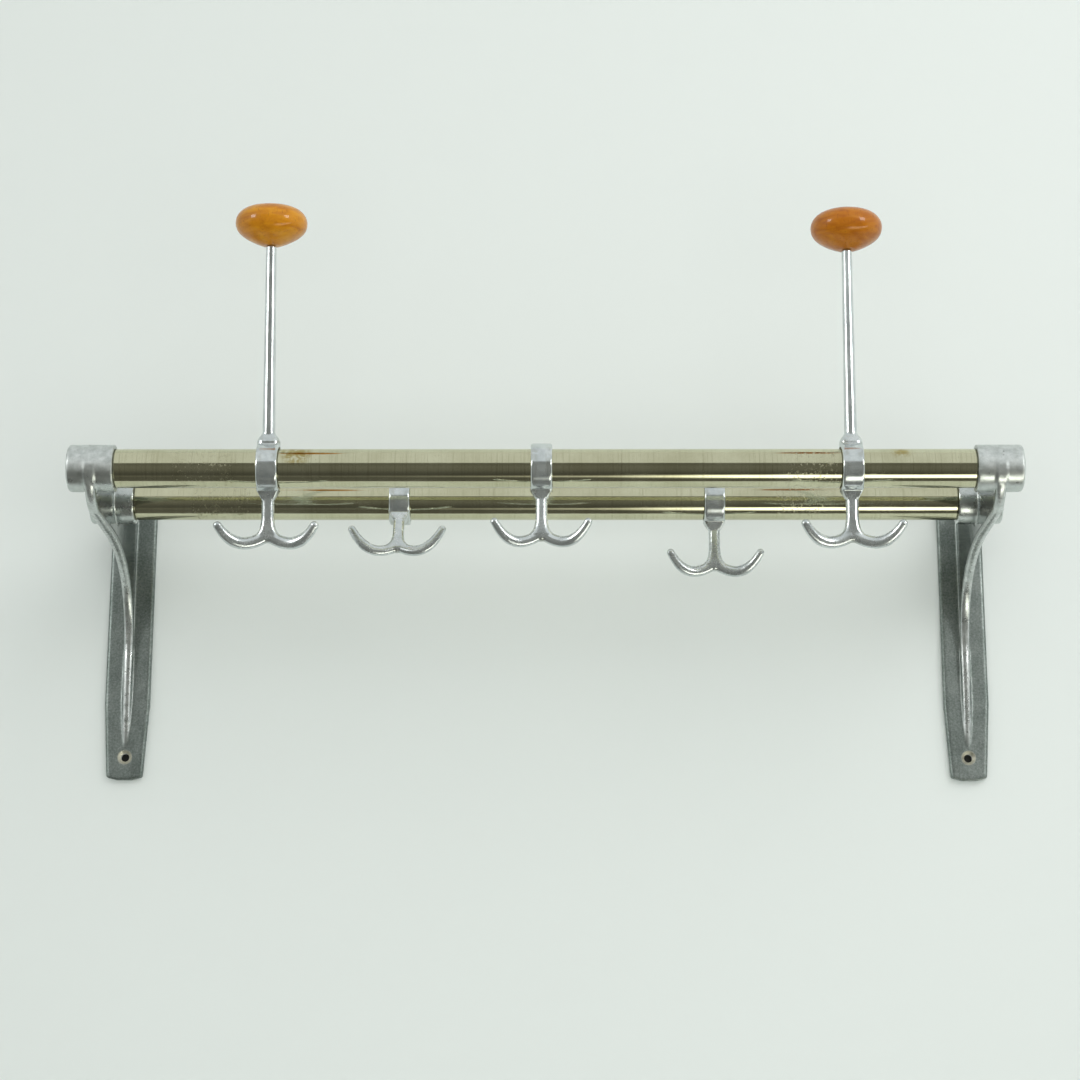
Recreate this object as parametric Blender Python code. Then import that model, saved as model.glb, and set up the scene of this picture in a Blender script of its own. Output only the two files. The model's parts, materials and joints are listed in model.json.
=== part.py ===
"""Wall coat rack: two cast brackets carry two tubes, and ring hooks slide and turn on the tubes.

X runs to the right along the tubes, Y into the wall and Z up. The wall plane is Y = 0, and the origin lies
midway between the brackets at the height of their lower screw holes.
"""
import math

import bmesh
import bpy
from mathutils import Matrix, Vector

MM = 0.001
X_AXIS = Vector((1.0, 0.0, 0.0))
Y_AXIS = Vector((0.0, 1.0, 0.0))
Z_AXIS = Vector((0.0, 0.0, 1.0))

# Clearances
FIT_GAP = 0.3 * MM
OVERCUT = 1.0 * MM
WELD = 0.0001 * MM
SLEEVE_GAP = 0.25 * MM

# Tubes
TUBE_RADIUS = 14.0 * MM
TUBE_WALL = 1.5 * MM
TUBE_HEIGHT = 179.5 * MM
FRONT_TUBE_REACH = 186.6 * MM
TUBE_SPACING = 90.5 * MM

# Brackets
BRACKET_HALF_SPACING = 324.7 * MM
PLATE_WIDTH = 35.0 * MM
PLATE_FOOT_WIDTH = 28.0 * MM
PLATE_THICKNESS = 5.0 * MM
PLATE_EDGE = 1.6 * MM
PLATE_RISE = 45.0 * MM
PLATE_CORNER = 6.0 * MM
PLATE_DROP = 17.4 * MM
FOOT_BULGE = 2.2 * MM
FOOT_TAPER_HEIGHT = 42.0 * MM
SCREW_HOLE_RADIUS = 3.2 * MM
COUNTERSINK_RADIUS = 5.4 * MM
UPPER_HOLE_RISE = 32.0 * MM
WEB_THICKNESS = 4.6 * MM
WEB_DROP = 12.0 * MM
WEB_RISE = 10.0 * MM
WEB_ROOT_RISE = 18.5 * MM
WEB_FOOT_HEIGHT = -13.0 * MM
WEB_ARCH_HEIGHT = 76.0 * MM
WEB_CHIN = 16.0 * MM
ARCH_RISE = 52.0 * MM
WEB_FOOT_DEPTH = 4.0 * MM
BEAD_WIDTH = 7.6 * MM
BEAD_DEPTH = 5.0 * MM
BEAD_PROUD = 1.0 * MM

# Sockets
SOCKET_WALL = 2.7 * MM
SOCKET_HALF_LENGTH = 16.6 * MM
SOCKET_END_WALL = 4.5 * MM
SOCKET_EDGE = 2.4 * MM
SOCKET_DOME = 0.8 * MM
MOUTH_EDGE = 0.8 * MM
SET_SCREW_RADIUS = 2.0 * MM
SET_SCREW_LENGTH = 2.1 * MM
SET_SCREW_FROM_MOUTH = 7.5 * MM
SCREW_SLOT_WIDTH = 0.8 * MM
SCREW_SLOT_DEPTH = 0.8 * MM
SCREW_CHAMFER = 0.3 * MM

# Friction sleeves
SLEEVE_WALL = 0.7 * MM
SLEEVE_RECESS = 0.8 * MM
SLEEVE_SLIT_ANGLE = math.radians(14.0)

# Hook rings and arms, with drops measured from the ring's outer face
RING_WIDTH = 15.4 * MM
RING_WALL = 2.7 * MM
RING_EDGE = 1.2 * MM
SHOULDER_WIDTH = 16.6 * MM
SHOULDER_DEPTH = 13.0 * MM
SHOULDER_DROP = 3.9 * MM
SHANK_WIDTH = 8.2 * MM
CROTCH_WIDTH = 9.2 * MM
FLARE_WIDTH = 18.4 * MM
SHANK_DEPTH = 7.0 * MM
ARM_THICKNESS = 8.2 * MM
ARM_PROUD = 0.4 * MM
TIP_THICKNESS = 4.8 * MM
CROTCH_DROP = 22.0 * MM
FLARE_DROP = 31.8 * MM
ARM_ROOT_DROP = 31.0 * MM
ARM_ROOT_OFFSET = 1.5 * MM
ARM_ROOT_PULL = 12.5 * MM
CUSP_DROP = 36.8 * MM
BOTTOM_DROP = 40.9 * MM
TIP_DROP = 24.6 * MM
ARM_PULL = 9.0 * MM
ARM_SWEEP = 12.0 * MM
COAT_HOOK_SPAN = 72.4 * MM
HAT_HOOK_SPAN = 75.4 * MM

# Hat stems and knobs
STEM_COLLAR_RISE = 9.4 * MM
STEM_FOOT_DIAMETER = 9.0 * MM
STEM_TOP_DIAMETER = 7.2 * MM
STEM_LENGTH = 144.5 * MM
SPIGOT_RADIUS = 2.6 * MM
SPIGOT_LENGTH = 14.0 * MM
KNOB_RADIUS = 26.0 * MM
KNOB_HEIGHT = 30.0 * MM
KNOB_EQUATOR = 16.5 * MM
KNOB_FOOT_RADIUS = 8.0 * MM

# Where each hook stands along its tube, from a bracket or from the middle, and how far its top leans
# towards the viewer
HAT_HOOK_LEFT_INSET = 126.4 * MM
HAT_HOOK_RIGHT_INSET = 105.2 * MM
CENTRE_HOOK_X = -2.3 * MM
REAR_HOOK_LEFT_X = -109.2 * MM
REAR_HOOK_RIGHT_X = 126.3 * MM
HAT_HOOK_LEFT_TILT = math.radians(8.0)
HAT_HOOK_RIGHT_TILT = math.radians(3.5)
REAR_HOOK_LEFT_TILT = math.radians(-31.5)

# Curve shares: how hard each curve is pulled, without a size of its own
NOSE_SHARE = 0.66
ARCH_PULL = 0.4
BEAD_END_SHARE = 0.4
ARM_ROOT_SHARE = 0.8
ARM_ROOT_BLEND = 0.2
FLARE_BEND = 0.19
TIP_ROUNDING = ((0.78, 0.30), (0.40, 0.48))
STEM_COLLAR_BEND = 0.45
KNOB_CONE_RISE = 0.34
KNOB_CONE_SPREAD = 0.78
KNOB_BELLY_RISE = 0.56
KNOB_FLATNESS = 0.62
CAST_SQUARENESS = 0.72

# Facets
FOOT_STEPS = 4
RIM_STEPS = 2
CHIN_STEPS = 5
ARCH_STEPS = 12
BEAD_SIDES = 8
ARM_STEPS = 9
KNOB_STEPS = 6
ROUND_SIDES = 36
KNOB_SIDES = 32
CAST_SIDES = 10
SMALL_SIDES = 16
SMOOTH_ANGLE = math.radians(35.0)

# Sizes that follow from the ones above
SLEEVE_INNER = TUBE_RADIUS + SLEEVE_GAP
SLEEVE_OUTER = SLEEVE_INNER + SLEEVE_WALL
RING_BORE = SLEEVE_OUTER + SLEEVE_GAP
RING_RADIUS = RING_BORE + RING_WALL
SOCKET_BORE = TUBE_RADIUS + FIT_GAP
SOCKET_RADIUS = SOCKET_BORE + SOCKET_WALL
SOCKET_DEPTH = 2.0 * SOCKET_HALF_LENGTH - SOCKET_END_WALL
WEB_SUNK_DEPTH = PLATE_THICKNESS / 2.0
TUBE_HALF_LENGTH = BRACKET_HALF_SPACING - SOCKET_HALF_LENGTH + SOCKET_DEPTH - FIT_GAP
REAR_TUBE_REACH = FRONT_TUBE_REACH - TUBE_SPACING


def clear_scene():
    for old in list(bpy.data.objects):
        bpy.data.objects.remove(old, do_unlink=True)


def finish_material(name, colour, roughness, metallic):
    finish = bpy.data.materials.new(name)
    finish.use_nodes = True
    shader = finish.node_tree.nodes["Principled BSDF"]
    shader.inputs["Base Color"].default_value = (*colour, 1.0)
    shader.inputs["Roughness"].default_value = roughness
    shader.inputs["Metallic"].default_value = metallic
    return finish


def solid_object(name, bm, finish=None):
    """Closes a bmesh into an object with outward faces and smooth round sides."""
    bmesh.ops.remove_doubles(bm, verts=bm.verts, dist=WELD)
    bmesh.ops.recalc_face_normals(bm, faces=bm.faces)
    mesh = bpy.data.meshes.new(name)
    bm.to_mesh(mesh)
    bm.free()
    mesh.shade_smooth()
    mesh.set_sharp_from_angle(angle=SMOOTH_ANGLE)
    made = bpy.data.objects.new(name, mesh)
    bpy.context.scene.collection.objects.link(made)
    if finish is not None:
        mesh.materials.append(finish)
    return made


def combine(base, others, operation):
    """Joins other solids to a base, or cuts them from it, and removes them."""
    for other in others:
        step = base.modifiers.new(operation.lower(), "BOOLEAN")
        step.operation = operation
        step.solver = "EXACT"
        step.object = other
        bpy.context.view_layer.update()
        shape = bpy.data.meshes.new_from_object(base.evaluated_get(bpy.context.evaluated_depsgraph_get()))
        base.modifiers.clear()
        base.data = shape
        bpy.data.objects.remove(other, do_unlink=True)
    base.data.shade_smooth()
    base.data.set_sharp_from_angle(angle=SMOOTH_ANGLE)
    return base


def loft(name, rings, finish=None):
    """Skins a row of rings that have equal counts of points, and caps both ends."""
    bm = bmesh.new()
    loops = [[bm.verts.new(point) for point in ring] for ring in rings]
    for low, high in zip(loops, loops[1:]):
        for i in range(len(low)):
            j = (i + 1) % len(low)
            bm.faces.new((low[i], low[j], high[j], high[i]))
    bm.faces.new(list(reversed(loops[0])))
    bm.faces.new(loops[-1])
    return solid_object(name, bm, finish)


def turned(name, profile, axis, sides, finish=None, facet_turn=0.5):
    """Spins a profile of (along, radius) points that ends on the axis, or that closes on itself as a ring.

    The facets start a share of one facet round from the axis that they would face, so that a bore's edges
    fall between those of the round piece that it is cut from.
    """
    bm = bmesh.new()
    along = Vector(axis)
    square = Vector((0.0, 0.0, 1.0)) if along.x else Vector((1.0, 0.0, 0.0))
    outward = Matrix.Rotation(2.0 * math.pi / sides * facet_turn, 3, along) @ square
    points = [bm.verts.new(along * place + outward * radius) for place, radius in profile]
    edges = [bm.edges.new(pair) for pair in zip(points, points[1:])]
    if min(profile[0][1], profile[-1][1]) > 0.0:
        edges.append(bm.edges.new((points[-1], points[0])))
    bmesh.ops.spin(bm, geom=points + edges, cent=(0.0, 0.0, 0.0), axis=along, angle=2.0 * math.pi,
                   steps=sides, use_merge=True)
    return solid_object(name, bm, finish)


def extruded(name, outline, direction):
    """Pushes a flat outline along a direction."""
    shift = Vector(direction)
    return loft(name, [[Vector(p) for p in outline], [Vector(p) + shift for p in outline]])


def shifted(made, x, y, z):
    made.data.transform(Matrix.Translation((x, y, z)))
    return made


def bezier(start, pull_start, pull_end, end, steps):
    """Points of a cubic curve in a plane, ends included."""
    points = []
    for i in range(steps + 1):
        t = i / steps
        s = 1.0 - t
        weights = (s ** 3, 3.0 * s * s * t, 3.0 * s * t * t, t ** 3)
        corners = (start, pull_start, pull_end, end)
        points.append(sum((w * Vector(p) for w, p in zip(weights, corners)), Vector((0.0, 0.0))))
    return points


def rounded_section(centre, across, through, half_across, half_through, sides=CAST_SIDES):
    """A softly squared ring of points about a centre, as a worn casting has."""
    ring = []
    for i in range(sides):
        angle = 2.0 * math.pi * (i + 0.5) / sides
        c = math.copysign(abs(math.cos(angle)) ** CAST_SQUARENESS, math.cos(angle))
        s = math.copysign(abs(math.sin(angle)) ** CAST_SQUARENESS, math.sin(angle))
        ring.append(centre + across * (half_across * c) + through * (half_through * s))
    return ring


def rounded_rim(end, radius, edge):
    """Profile points that turn from an outer face of a given radius to an end face, by a rounded edge."""
    turns = [math.pi / 2.0 * i / RIM_STEPS for i in range(RIM_STEPS + 1)]
    return [(end - edge * (1.0 - math.sin(a)), radius - edge * (1.0 - math.cos(a))) for a in turns]


def tube(name, reach, finish):
    """A nickelled tube that runs from the bottom of one socket to the bottom of the other."""
    inner = TUBE_RADIUS - TUBE_WALL
    profile = [(-TUBE_HALF_LENGTH, inner), (-TUBE_HALF_LENGTH, TUBE_RADIUS),
               (TUBE_HALF_LENGTH, TUBE_RADIUS), (TUBE_HALF_LENGTH, inner)]
    made = turned(name, profile, X_AXIS, ROUND_SIDES, finish)
    made.location = (0.0, -reach, TUBE_HEIGHT)
    return made


def wall_plate(side):
    """The bracket's plate: parallel sides that taper towards a bowed foot, and bevelled front edges."""
    half = PLATE_WIDTH / 2.0
    foot = PLATE_FOOT_WIDTH / 2.0
    top = TUBE_HEIGHT + PLATE_RISE
    outline = [(half, FOOT_TAPER_HEIGHT), (half, top - PLATE_CORNER), (half - PLATE_CORNER, top),
               (PLATE_CORNER - half, top), (-half, top - PLATE_CORNER), (-half, FOOT_TAPER_HEIGHT)]
    outline += [(-foot + 2.0 * foot * i / FOOT_STEPS,
                 -PLATE_DROP + FOOT_BULGE * (2.0 * i / FOOT_STEPS - 1.0) ** 2) for i in range(FOOT_STEPS + 1)]
    middle = Vector((0.0, (top - PLATE_DROP) / 2.0))
    rings = []
    for inset, depth in ((0.0, 0.0), (0.0, PLATE_THICKNESS - PLATE_EDGE), (PLATE_EDGE, PLATE_THICKNESS)):
        ring = []
        for x, z in outline:
            shrink_x = (half - inset) / half
            shrink_z = (middle.y + PLATE_DROP - inset) / (middle.y + PLATE_DROP)
            ring.append(Vector((side * BRACKET_HALF_SPACING + x * shrink_x, -depth,
                                middle.y + (z - middle.y) * shrink_z)))
        rings.append(ring)
    return loft("plate", rings)


def web_edges():
    """The web's lower edge from the front socket to the foot, and its upper edge, as (reach, height)."""
    belly = TUBE_HEIGHT - SOCKET_RADIUS - WEB_DROP
    nose = Vector((FRONT_TUBE_REACH + SOCKET_RADIUS * NOSE_SHARE, TUBE_HEIGHT - SOCKET_RADIUS * NOSE_SHARE))
    chin = Vector((FRONT_TUBE_REACH - WEB_CHIN, belly))
    flat_end = Vector((REAR_TUBE_REACH + SOCKET_RADIUS, belly))
    foot_top = Vector((PLATE_THICKNESS + WEB_FOOT_DEPTH, WEB_ARCH_HEIGHT))
    foot = Vector((WEB_SUNK_DEPTH, WEB_FOOT_HEIGHT))
    lower = bezier(nose, (nose.x, belly + WEB_DROP), (chin.x + WEB_DROP, belly), chin, CHIN_STEPS)
    lower += bezier(flat_end, (flat_end.x * ARCH_PULL, belly), (foot_top.x, foot_top.y + ARCH_RISE), foot_top,
                    ARCH_STEPS)
    lower.append(foot)
    upper = [Vector((WEB_SUNK_DEPTH, TUBE_HEIGHT + WEB_RISE + WEB_ROOT_RISE)),
             Vector((WEB_SUNK_DEPTH + WEB_ROOT_RISE, TUBE_HEIGHT + WEB_RISE)),
             Vector((FRONT_TUBE_REACH, TUBE_HEIGHT + WEB_RISE))]
    return lower, upper


def web(side):
    """The upright web between the plate and the sockets. Its back is sunk into the plate."""
    lower, upper = web_edges()
    near = side * BRACKET_HALF_SPACING - WEB_THICKNESS / 2.0
    flat = [(near, -point.x, point.y) for point in lower + upper]
    return extruded("web", flat, (WEB_THICKNESS, 0.0, 0.0))


def bead(side):
    """The rounded bead along the web's lower edge. It tapers into the plate at the foot."""
    lower, _ = web_edges()
    centre_x = side * BRACKET_HALF_SPACING
    rings = []
    for i, point in enumerate(lower):
        ahead = lower[min(i + 1, len(lower) - 1)] - lower[max(i - 1, 0)]
        inward = Vector((ahead.y, -ahead.x)).normalized()
        share = BEAD_END_SHARE if point is lower[-1] else 1.0
        middle = point + inward * (BEAD_DEPTH / 2.0 - BEAD_PROUD) * share
        through = Vector((0.0, -inward.x, inward.y))
        rings.append(rounded_section(Vector((centre_x, -middle.x, middle.y)), X_AXIS, through,
                                     BEAD_WIDTH / 2.0 * share, BEAD_DEPTH / 2.0 * share, BEAD_SIDES))
    return loft("bead", rings)


def socket(side, reach):
    """A tube socket with a rounded, closed outer end. Its mouth faces the middle of the rack."""
    inside = -SOCKET_HALF_LENGTH
    outside = SOCKET_HALF_LENGTH
    profile = [(inside, 0.0), (inside, SOCKET_RADIUS - MOUTH_EDGE), (inside + MOUTH_EDGE, SOCKET_RADIUS),
               (outside - SOCKET_EDGE, SOCKET_RADIUS)]
    profile += rounded_rim(outside, SOCKET_RADIUS, SOCKET_EDGE)[1:]
    profile.append((outside + SOCKET_DOME, 0.0))
    made = turned("socket", [(side * along, radius) for along, radius in profile], X_AXIS, ROUND_SIDES)
    return shifted(made, side * BRACKET_HALF_SPACING, -reach, TUBE_HEIGHT)


def socket_bore(side, reach):
    length = SOCKET_DEPTH + OVERCUT
    profile = [(0.0, 0.0), (0.0, SOCKET_BORE), (length, SOCKET_BORE), (length, 0.0)]
    made = turned("bore", [(side * along, radius) for along, radius in profile], X_AXIS, ROUND_SIDES,
                  facet_turn=0.0)
    start = BRACKET_HALF_SPACING - SOCKET_HALF_LENGTH - OVERCUT
    return shifted(made, side * start, -reach, TUBE_HEIGHT)


def set_screw_place(side, reach):
    """The middle of a set screw, above the tube and between the socket's mouth and the web."""
    along = BRACKET_HALF_SPACING - SOCKET_HALF_LENGTH + SET_SCREW_FROM_MOUTH
    return side * along, -reach, TUBE_HEIGHT + SOCKET_BORE + SET_SCREW_LENGTH / 2.0


def set_screw_hole(side, reach):
    radius = SET_SCREW_RADIUS + FIT_GAP
    half = SOCKET_WALL + OVERCUT
    profile = [(-half, 0.0), (-half, radius), (half, radius), (half, 0.0)]
    made = turned("set_hole", profile, Z_AXIS, SMALL_SIDES)
    return shifted(made, *set_screw_place(side, reach))


def wall_screw_hole(side, height):
    """A countersunk hole through the plate."""
    sink = COUNTERSINK_RADIUS - SCREW_HOLE_RADIUS
    front = PLATE_THICKNESS
    profile = [(-OVERCUT, 0.0), (-OVERCUT, SCREW_HOLE_RADIUS), (front - sink, SCREW_HOLE_RADIUS),
               (front + OVERCUT, COUNTERSINK_RADIUS + OVERCUT), (front + OVERCUT, 0.0)]
    made = turned("screw_hole", [(-along, radius) for along, radius in profile], Y_AXIS, SMALL_SIDES)
    return shifted(made, side * BRACKET_HALF_SPACING, 0.0, height)


def bracket(name, side, finish):
    """One casting: plate, web, bead and sockets joined, then bored and drilled."""
    reaches = (FRONT_TUBE_REACH, REAR_TUBE_REACH)
    made = wall_plate(side)
    made.name = name
    combine(made, [web(side), bead(side)] + [socket(side, reach) for reach in reaches], "UNION")
    cuts = [socket_bore(side, reach) for reach in reaches]
    cuts += [set_screw_hole(side, reach) for reach in reaches]
    cuts += [wall_screw_hole(side, height) for height in (0.0, TUBE_HEIGHT + UPPER_HOLE_RISE)]
    combine(made, cuts, "DIFFERENCE")
    made.data.materials.clear()
    made.data.materials.append(finish)
    return made


def set_screw(name, side, reach, finish):
    """A slotted grub screw that bears on the tube."""
    half = SET_SCREW_LENGTH / 2.0
    profile = [(-half, 0.0), (-half, SET_SCREW_RADIUS - SCREW_CHAMFER),
               (SCREW_CHAMFER - half, SET_SCREW_RADIUS), (half, SET_SCREW_RADIUS), (half, 0.0)]
    made = turned(name, profile, Z_AXIS, SMALL_SIDES)
    slot = [(x, -2.0 * SET_SCREW_RADIUS, z) for x, z in ((-SCREW_SLOT_WIDTH / 2.0, half - SCREW_SLOT_DEPTH),
                                                         (SCREW_SLOT_WIDTH / 2.0, half - SCREW_SLOT_DEPTH),
                                                         (SCREW_SLOT_WIDTH / 2.0, half + SCREW_SLOT_DEPTH),
                                                         (-SCREW_SLOT_WIDTH / 2.0, half + SCREW_SLOT_DEPTH))]
    combine(made, [extruded("slot", slot, (0.0, 4.0 * SET_SCREW_RADIUS, 0.0))], "DIFFERENCE")
    made.data.materials.clear()
    made.data.materials.append(finish)
    made.location = set_screw_place(side, reach)
    return made


def friction_sleeve(name, place, finish):
    """A thin split sleeve inside a hook's ring, slit at the back, which grips the tube."""
    half = RING_WIDTH / 2.0 - SLEEVE_RECESS
    sweep = 2.0 * math.pi - SLEEVE_SLIT_ANGLE
    rings = []
    for i in range(ROUND_SIDES + 1):
        angle = SLEEVE_SLIT_ANGLE / 2.0 + sweep * i / ROUND_SIDES
        radial = Vector((0.0, math.cos(angle), math.sin(angle)))
        rings.append([X_AXIS * along + radial * radius for along, radius in (
            (-half, SLEEVE_INNER), (half, SLEEVE_INNER), (half, SLEEVE_OUTER), (-half, SLEEVE_OUTER))])
    made = loft(name, rings, finish)
    made.location = place
    return made


def hook_ring():
    """The hook's ring before its bore is cut, with rounded rims."""
    half = RING_WIDTH / 2.0
    rim = rounded_rim(half, RING_RADIUS, RING_EDGE)
    profile = [(-half, 0.0)] + [(-along, radius) for along, radius in reversed(rim)] + rim + [(half, 0.0)]
    return turned("ring", profile, X_AXIS, ROUND_SIDES)


def upright_loft(name, stations):
    """A casting along Z from (height, width, depth) stations."""
    return loft(name, [rounded_section(Vector((0.0, 0.0, height)), X_AXIS, Y_AXIS, width / 2.0, depth / 2.0)
                       for height, width, depth in stations])


def shank():
    """The shoulder under the ring, and the shank that flares into the arms above the cusp between them."""
    bend_drop = (CROTCH_DROP + FLARE_DROP) / 2.0
    bend_width = CROTCH_WIDTH + (FLARE_WIDTH - CROTCH_WIDTH) * FLARE_BEND
    return upright_loft("shank", [
        (-RING_BORE + RING_WALL / 2.0, SHOULDER_WIDTH, SHOULDER_DEPTH),
        (-RING_RADIUS, SHOULDER_WIDTH, SHOULDER_DEPTH),
        (-RING_RADIUS - SHOULDER_DROP, SHANK_WIDTH, SHANK_DEPTH),
        (-RING_RADIUS - CROTCH_DROP, CROTCH_WIDTH, SHANK_DEPTH),
        (-RING_RADIUS - bend_drop, bend_width, SHANK_DEPTH),
        (-RING_RADIUS - FLARE_DROP, FLARE_WIDTH, SHANK_DEPTH - FIT_GAP),
        (-RING_RADIUS - CUSP_DROP, CROTCH_WIDTH - TIP_THICKNESS, SHANK_DEPTH - TIP_THICKNESS / 2.0)])


def arm(side, span):
    """One arm: it leaves the shank downwards, sweeps out and forwards and rises to a rounded tip."""
    tip = Vector((span / 2.0 - TIP_THICKNESS / 2.0, -RING_RADIUS - TIP_DROP))
    start = Vector((ARM_ROOT_OFFSET, -RING_RADIUS - ARM_ROOT_DROP))
    dip = (BOTTOM_DROP - ARM_THICKNESS / 2.0 - (ARM_ROOT_DROP + TIP_DROP) / 8.0) * 8.0 / 6.0
    pull_start = (ARM_ROOT_OFFSET + ARM_ROOT_PULL, -RING_RADIUS - dip)
    pull_end = (tip.x - ARM_PULL, -RING_RADIUS - dip)
    path = bezier(start, pull_start, pull_end, tip, ARM_STEPS)
    spine = []
    for i, point in enumerate(path):
        forward = ARM_SWEEP * (i / ARM_STEPS) ** 2
        spine.append(Vector((side * point.x, -forward, point.y)))
    rings = []
    for i, centre in enumerate(spine):
        t = i / ARM_STEPS
        ahead = (spine[min(i + 1, ARM_STEPS)] - spine[max(i - 1, 0)]).normalized()
        across = ahead.cross(Y_AXIS).normalized() * side
        through = across.cross(ahead) * side
        thickness = ARM_THICKNESS + (TIP_THICKNESS - ARM_THICKNESS) * t ** 3
        thickness *= min(1.0, ARM_ROOT_SHARE + t / ARM_ROOT_BLEND * (1.0 - ARM_ROOT_SHARE))
        depth = SHANK_DEPTH + ARM_PROUD + (TIP_THICKNESS - SHANK_DEPTH - ARM_PROUD) * t ** 3
        rings.append(rounded_section(centre, across, through, thickness / 2.0, depth / 2.0))
    for share, reach in TIP_ROUNDING:
        end = centre + ahead * (TIP_THICKNESS * reach)
        rings.append(rounded_section(end, across, through, thickness / 2.0 * share, depth / 2.0 * share))
    return loft("arm", rings)


def hat_stem():
    """The shoulder over the ring, the tapering stem and the spigot that enters the knob."""
    foot = RING_RADIUS + STEM_COLLAR_RISE
    top = RING_RADIUS + STEM_LENGTH
    spigot = 2.0 * SPIGOT_RADIUS
    return upright_loft("stem", [
        (RING_BORE - RING_WALL / 2.0, SHOULDER_WIDTH, SHOULDER_DEPTH),
        (RING_RADIUS, SHOULDER_WIDTH, SHOULDER_DEPTH),
        (RING_RADIUS + STEM_COLLAR_RISE * STEM_COLLAR_BEND,
         (SHOULDER_WIDTH + STEM_FOOT_DIAMETER) / 2.0 + RING_EDGE,
         (SHOULDER_DEPTH + STEM_FOOT_DIAMETER) / 2.0),
        (foot, STEM_FOOT_DIAMETER, STEM_FOOT_DIAMETER),
        (top, STEM_TOP_DIAMETER, STEM_TOP_DIAMETER),
        (top + FIT_GAP / 2.0, spigot, spigot),
        (top + SPIGOT_LENGTH, spigot, spigot)])


def hook(name, place, tilt, span, finish, has_stem=False):
    """One hook casting, with its origin on the tube's axis."""
    made = hook_ring()
    made.name = name
    joined = [shank(), arm(1.0, span), arm(-1.0, span)]
    if has_stem:
        joined.append(hat_stem())
    combine(made, joined, "UNION")
    half = SHOULDER_WIDTH + OVERCUT
    profile = [(-half, 0.0), (-half, RING_BORE), (half, RING_BORE), (half, 0.0)]
    combine(made, [turned("bore", profile, X_AXIS, ROUND_SIDES, facet_turn=0.0)], "DIFFERENCE")
    made.data.materials.clear()
    made.data.materials.append(finish)
    made.location = place
    made.rotation_euler = (tilt, 0.0, 0.0)
    return made


def hat_knob(name, hat_hook, finish):
    """A turned wooden knob: conical underside, domed top and a blind hole for the spigot."""
    hole = SPIGOT_RADIUS + FIT_GAP
    depth = SPIGOT_LENGTH
    crown = KNOB_HEIGHT - KNOB_EQUATOR
    profile = [(depth, 0.0), (depth, hole), (0.0, hole), (0.0, KNOB_FOOT_RADIUS)]
    profile += [(point.x, point.y) for point in bezier(
        (0.0, KNOB_FOOT_RADIUS), (KNOB_EQUATOR * KNOB_CONE_RISE, KNOB_RADIUS * KNOB_CONE_SPREAD),
        (KNOB_EQUATOR * KNOB_BELLY_RISE, KNOB_RADIUS), (KNOB_EQUATOR, KNOB_RADIUS), KNOB_STEPS)[1:]]
    profile += [(KNOB_EQUATOR + crown * math.sin(a), KNOB_RADIUS * math.cos(a) ** KNOB_FLATNESS)
                for a in (math.radians(90.0 * i / KNOB_STEPS) for i in range(1, KNOB_STEPS))]
    profile.append((KNOB_HEIGHT, 0.0))
    made = turned(name, profile, Z_AXIS, KNOB_SIDES, finish)
    made.parent = hat_hook
    made.location = (0.0, 0.0, RING_RADIUS + STEM_LENGTH + FIT_GAP)
    return made


def build():
    clear_scene()
    aluminium = (0.46, 0.48, 0.47)
    nickel = (0.62, 0.60, 0.47)
    brass = (0.55, 0.42, 0.20)
    amber = (0.47, 0.19, 0.02)
    steel = (0.40, 0.40, 0.40)
    for word, side in (("left", -1.0), ("right", 1.0)):
        name = "bracket_" + word
        bracket(name, side, finish_material(name, aluminium, 0.42, 1.0))
        for row, reach in (("front", FRONT_TUBE_REACH), ("rear", REAR_TUBE_REACH)):
            name = "set_screw_" + row + "_" + word
            set_screw(name, side, reach, finish_material(name, steel, 0.45, 1.0))
    for row, reach in (("front", FRONT_TUBE_REACH), ("rear", REAR_TUBE_REACH)):
        tube(row + "_tube", reach, finish_material(row + "_tube", nickel, 0.16, 1.0))
    hat_left_x = HAT_HOOK_LEFT_INSET - BRACKET_HALF_SPACING
    hat_right_x = BRACKET_HALF_SPACING - HAT_HOOK_RIGHT_INSET
    hooks = (
        ("hat_hook_left", hat_left_x, FRONT_TUBE_REACH, HAT_HOOK_LEFT_TILT, True),
        ("coat_hook_centre", CENTRE_HOOK_X, FRONT_TUBE_REACH, 0.0, False),
        ("hat_hook_right", hat_right_x, FRONT_TUBE_REACH, HAT_HOOK_RIGHT_TILT, True),
        ("coat_hook_rear_left", REAR_HOOK_LEFT_X, REAR_TUBE_REACH, REAR_HOOK_LEFT_TILT, False),
        ("coat_hook_rear_right", REAR_HOOK_RIGHT_X, REAR_TUBE_REACH, 0.0, False),
    )
    for name, x, reach, tilt, has_stem in hooks:
        place = (x, -reach, TUBE_HEIGHT)
        span = HAT_HOOK_SPAN if has_stem else COAT_HOOK_SPAN
        made = hook(name, place, tilt, span, finish_material(name, aluminium, 0.30, 1.0), has_stem)
        sleeve = name.replace("hook", "sleeve")
        friction_sleeve(sleeve, place, finish_material(sleeve, brass, 0.40, 1.0))
        if has_stem:
            knob = name.replace("hook", "knob")
            hat_knob(knob, made, finish_material(knob, amber, 0.18, 0.0))


build()
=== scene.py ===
"""Finished look of the wall coat rack: cast brackets and hooks, nickelled tubes and lacquered hat knobs."""
import json
import math

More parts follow.
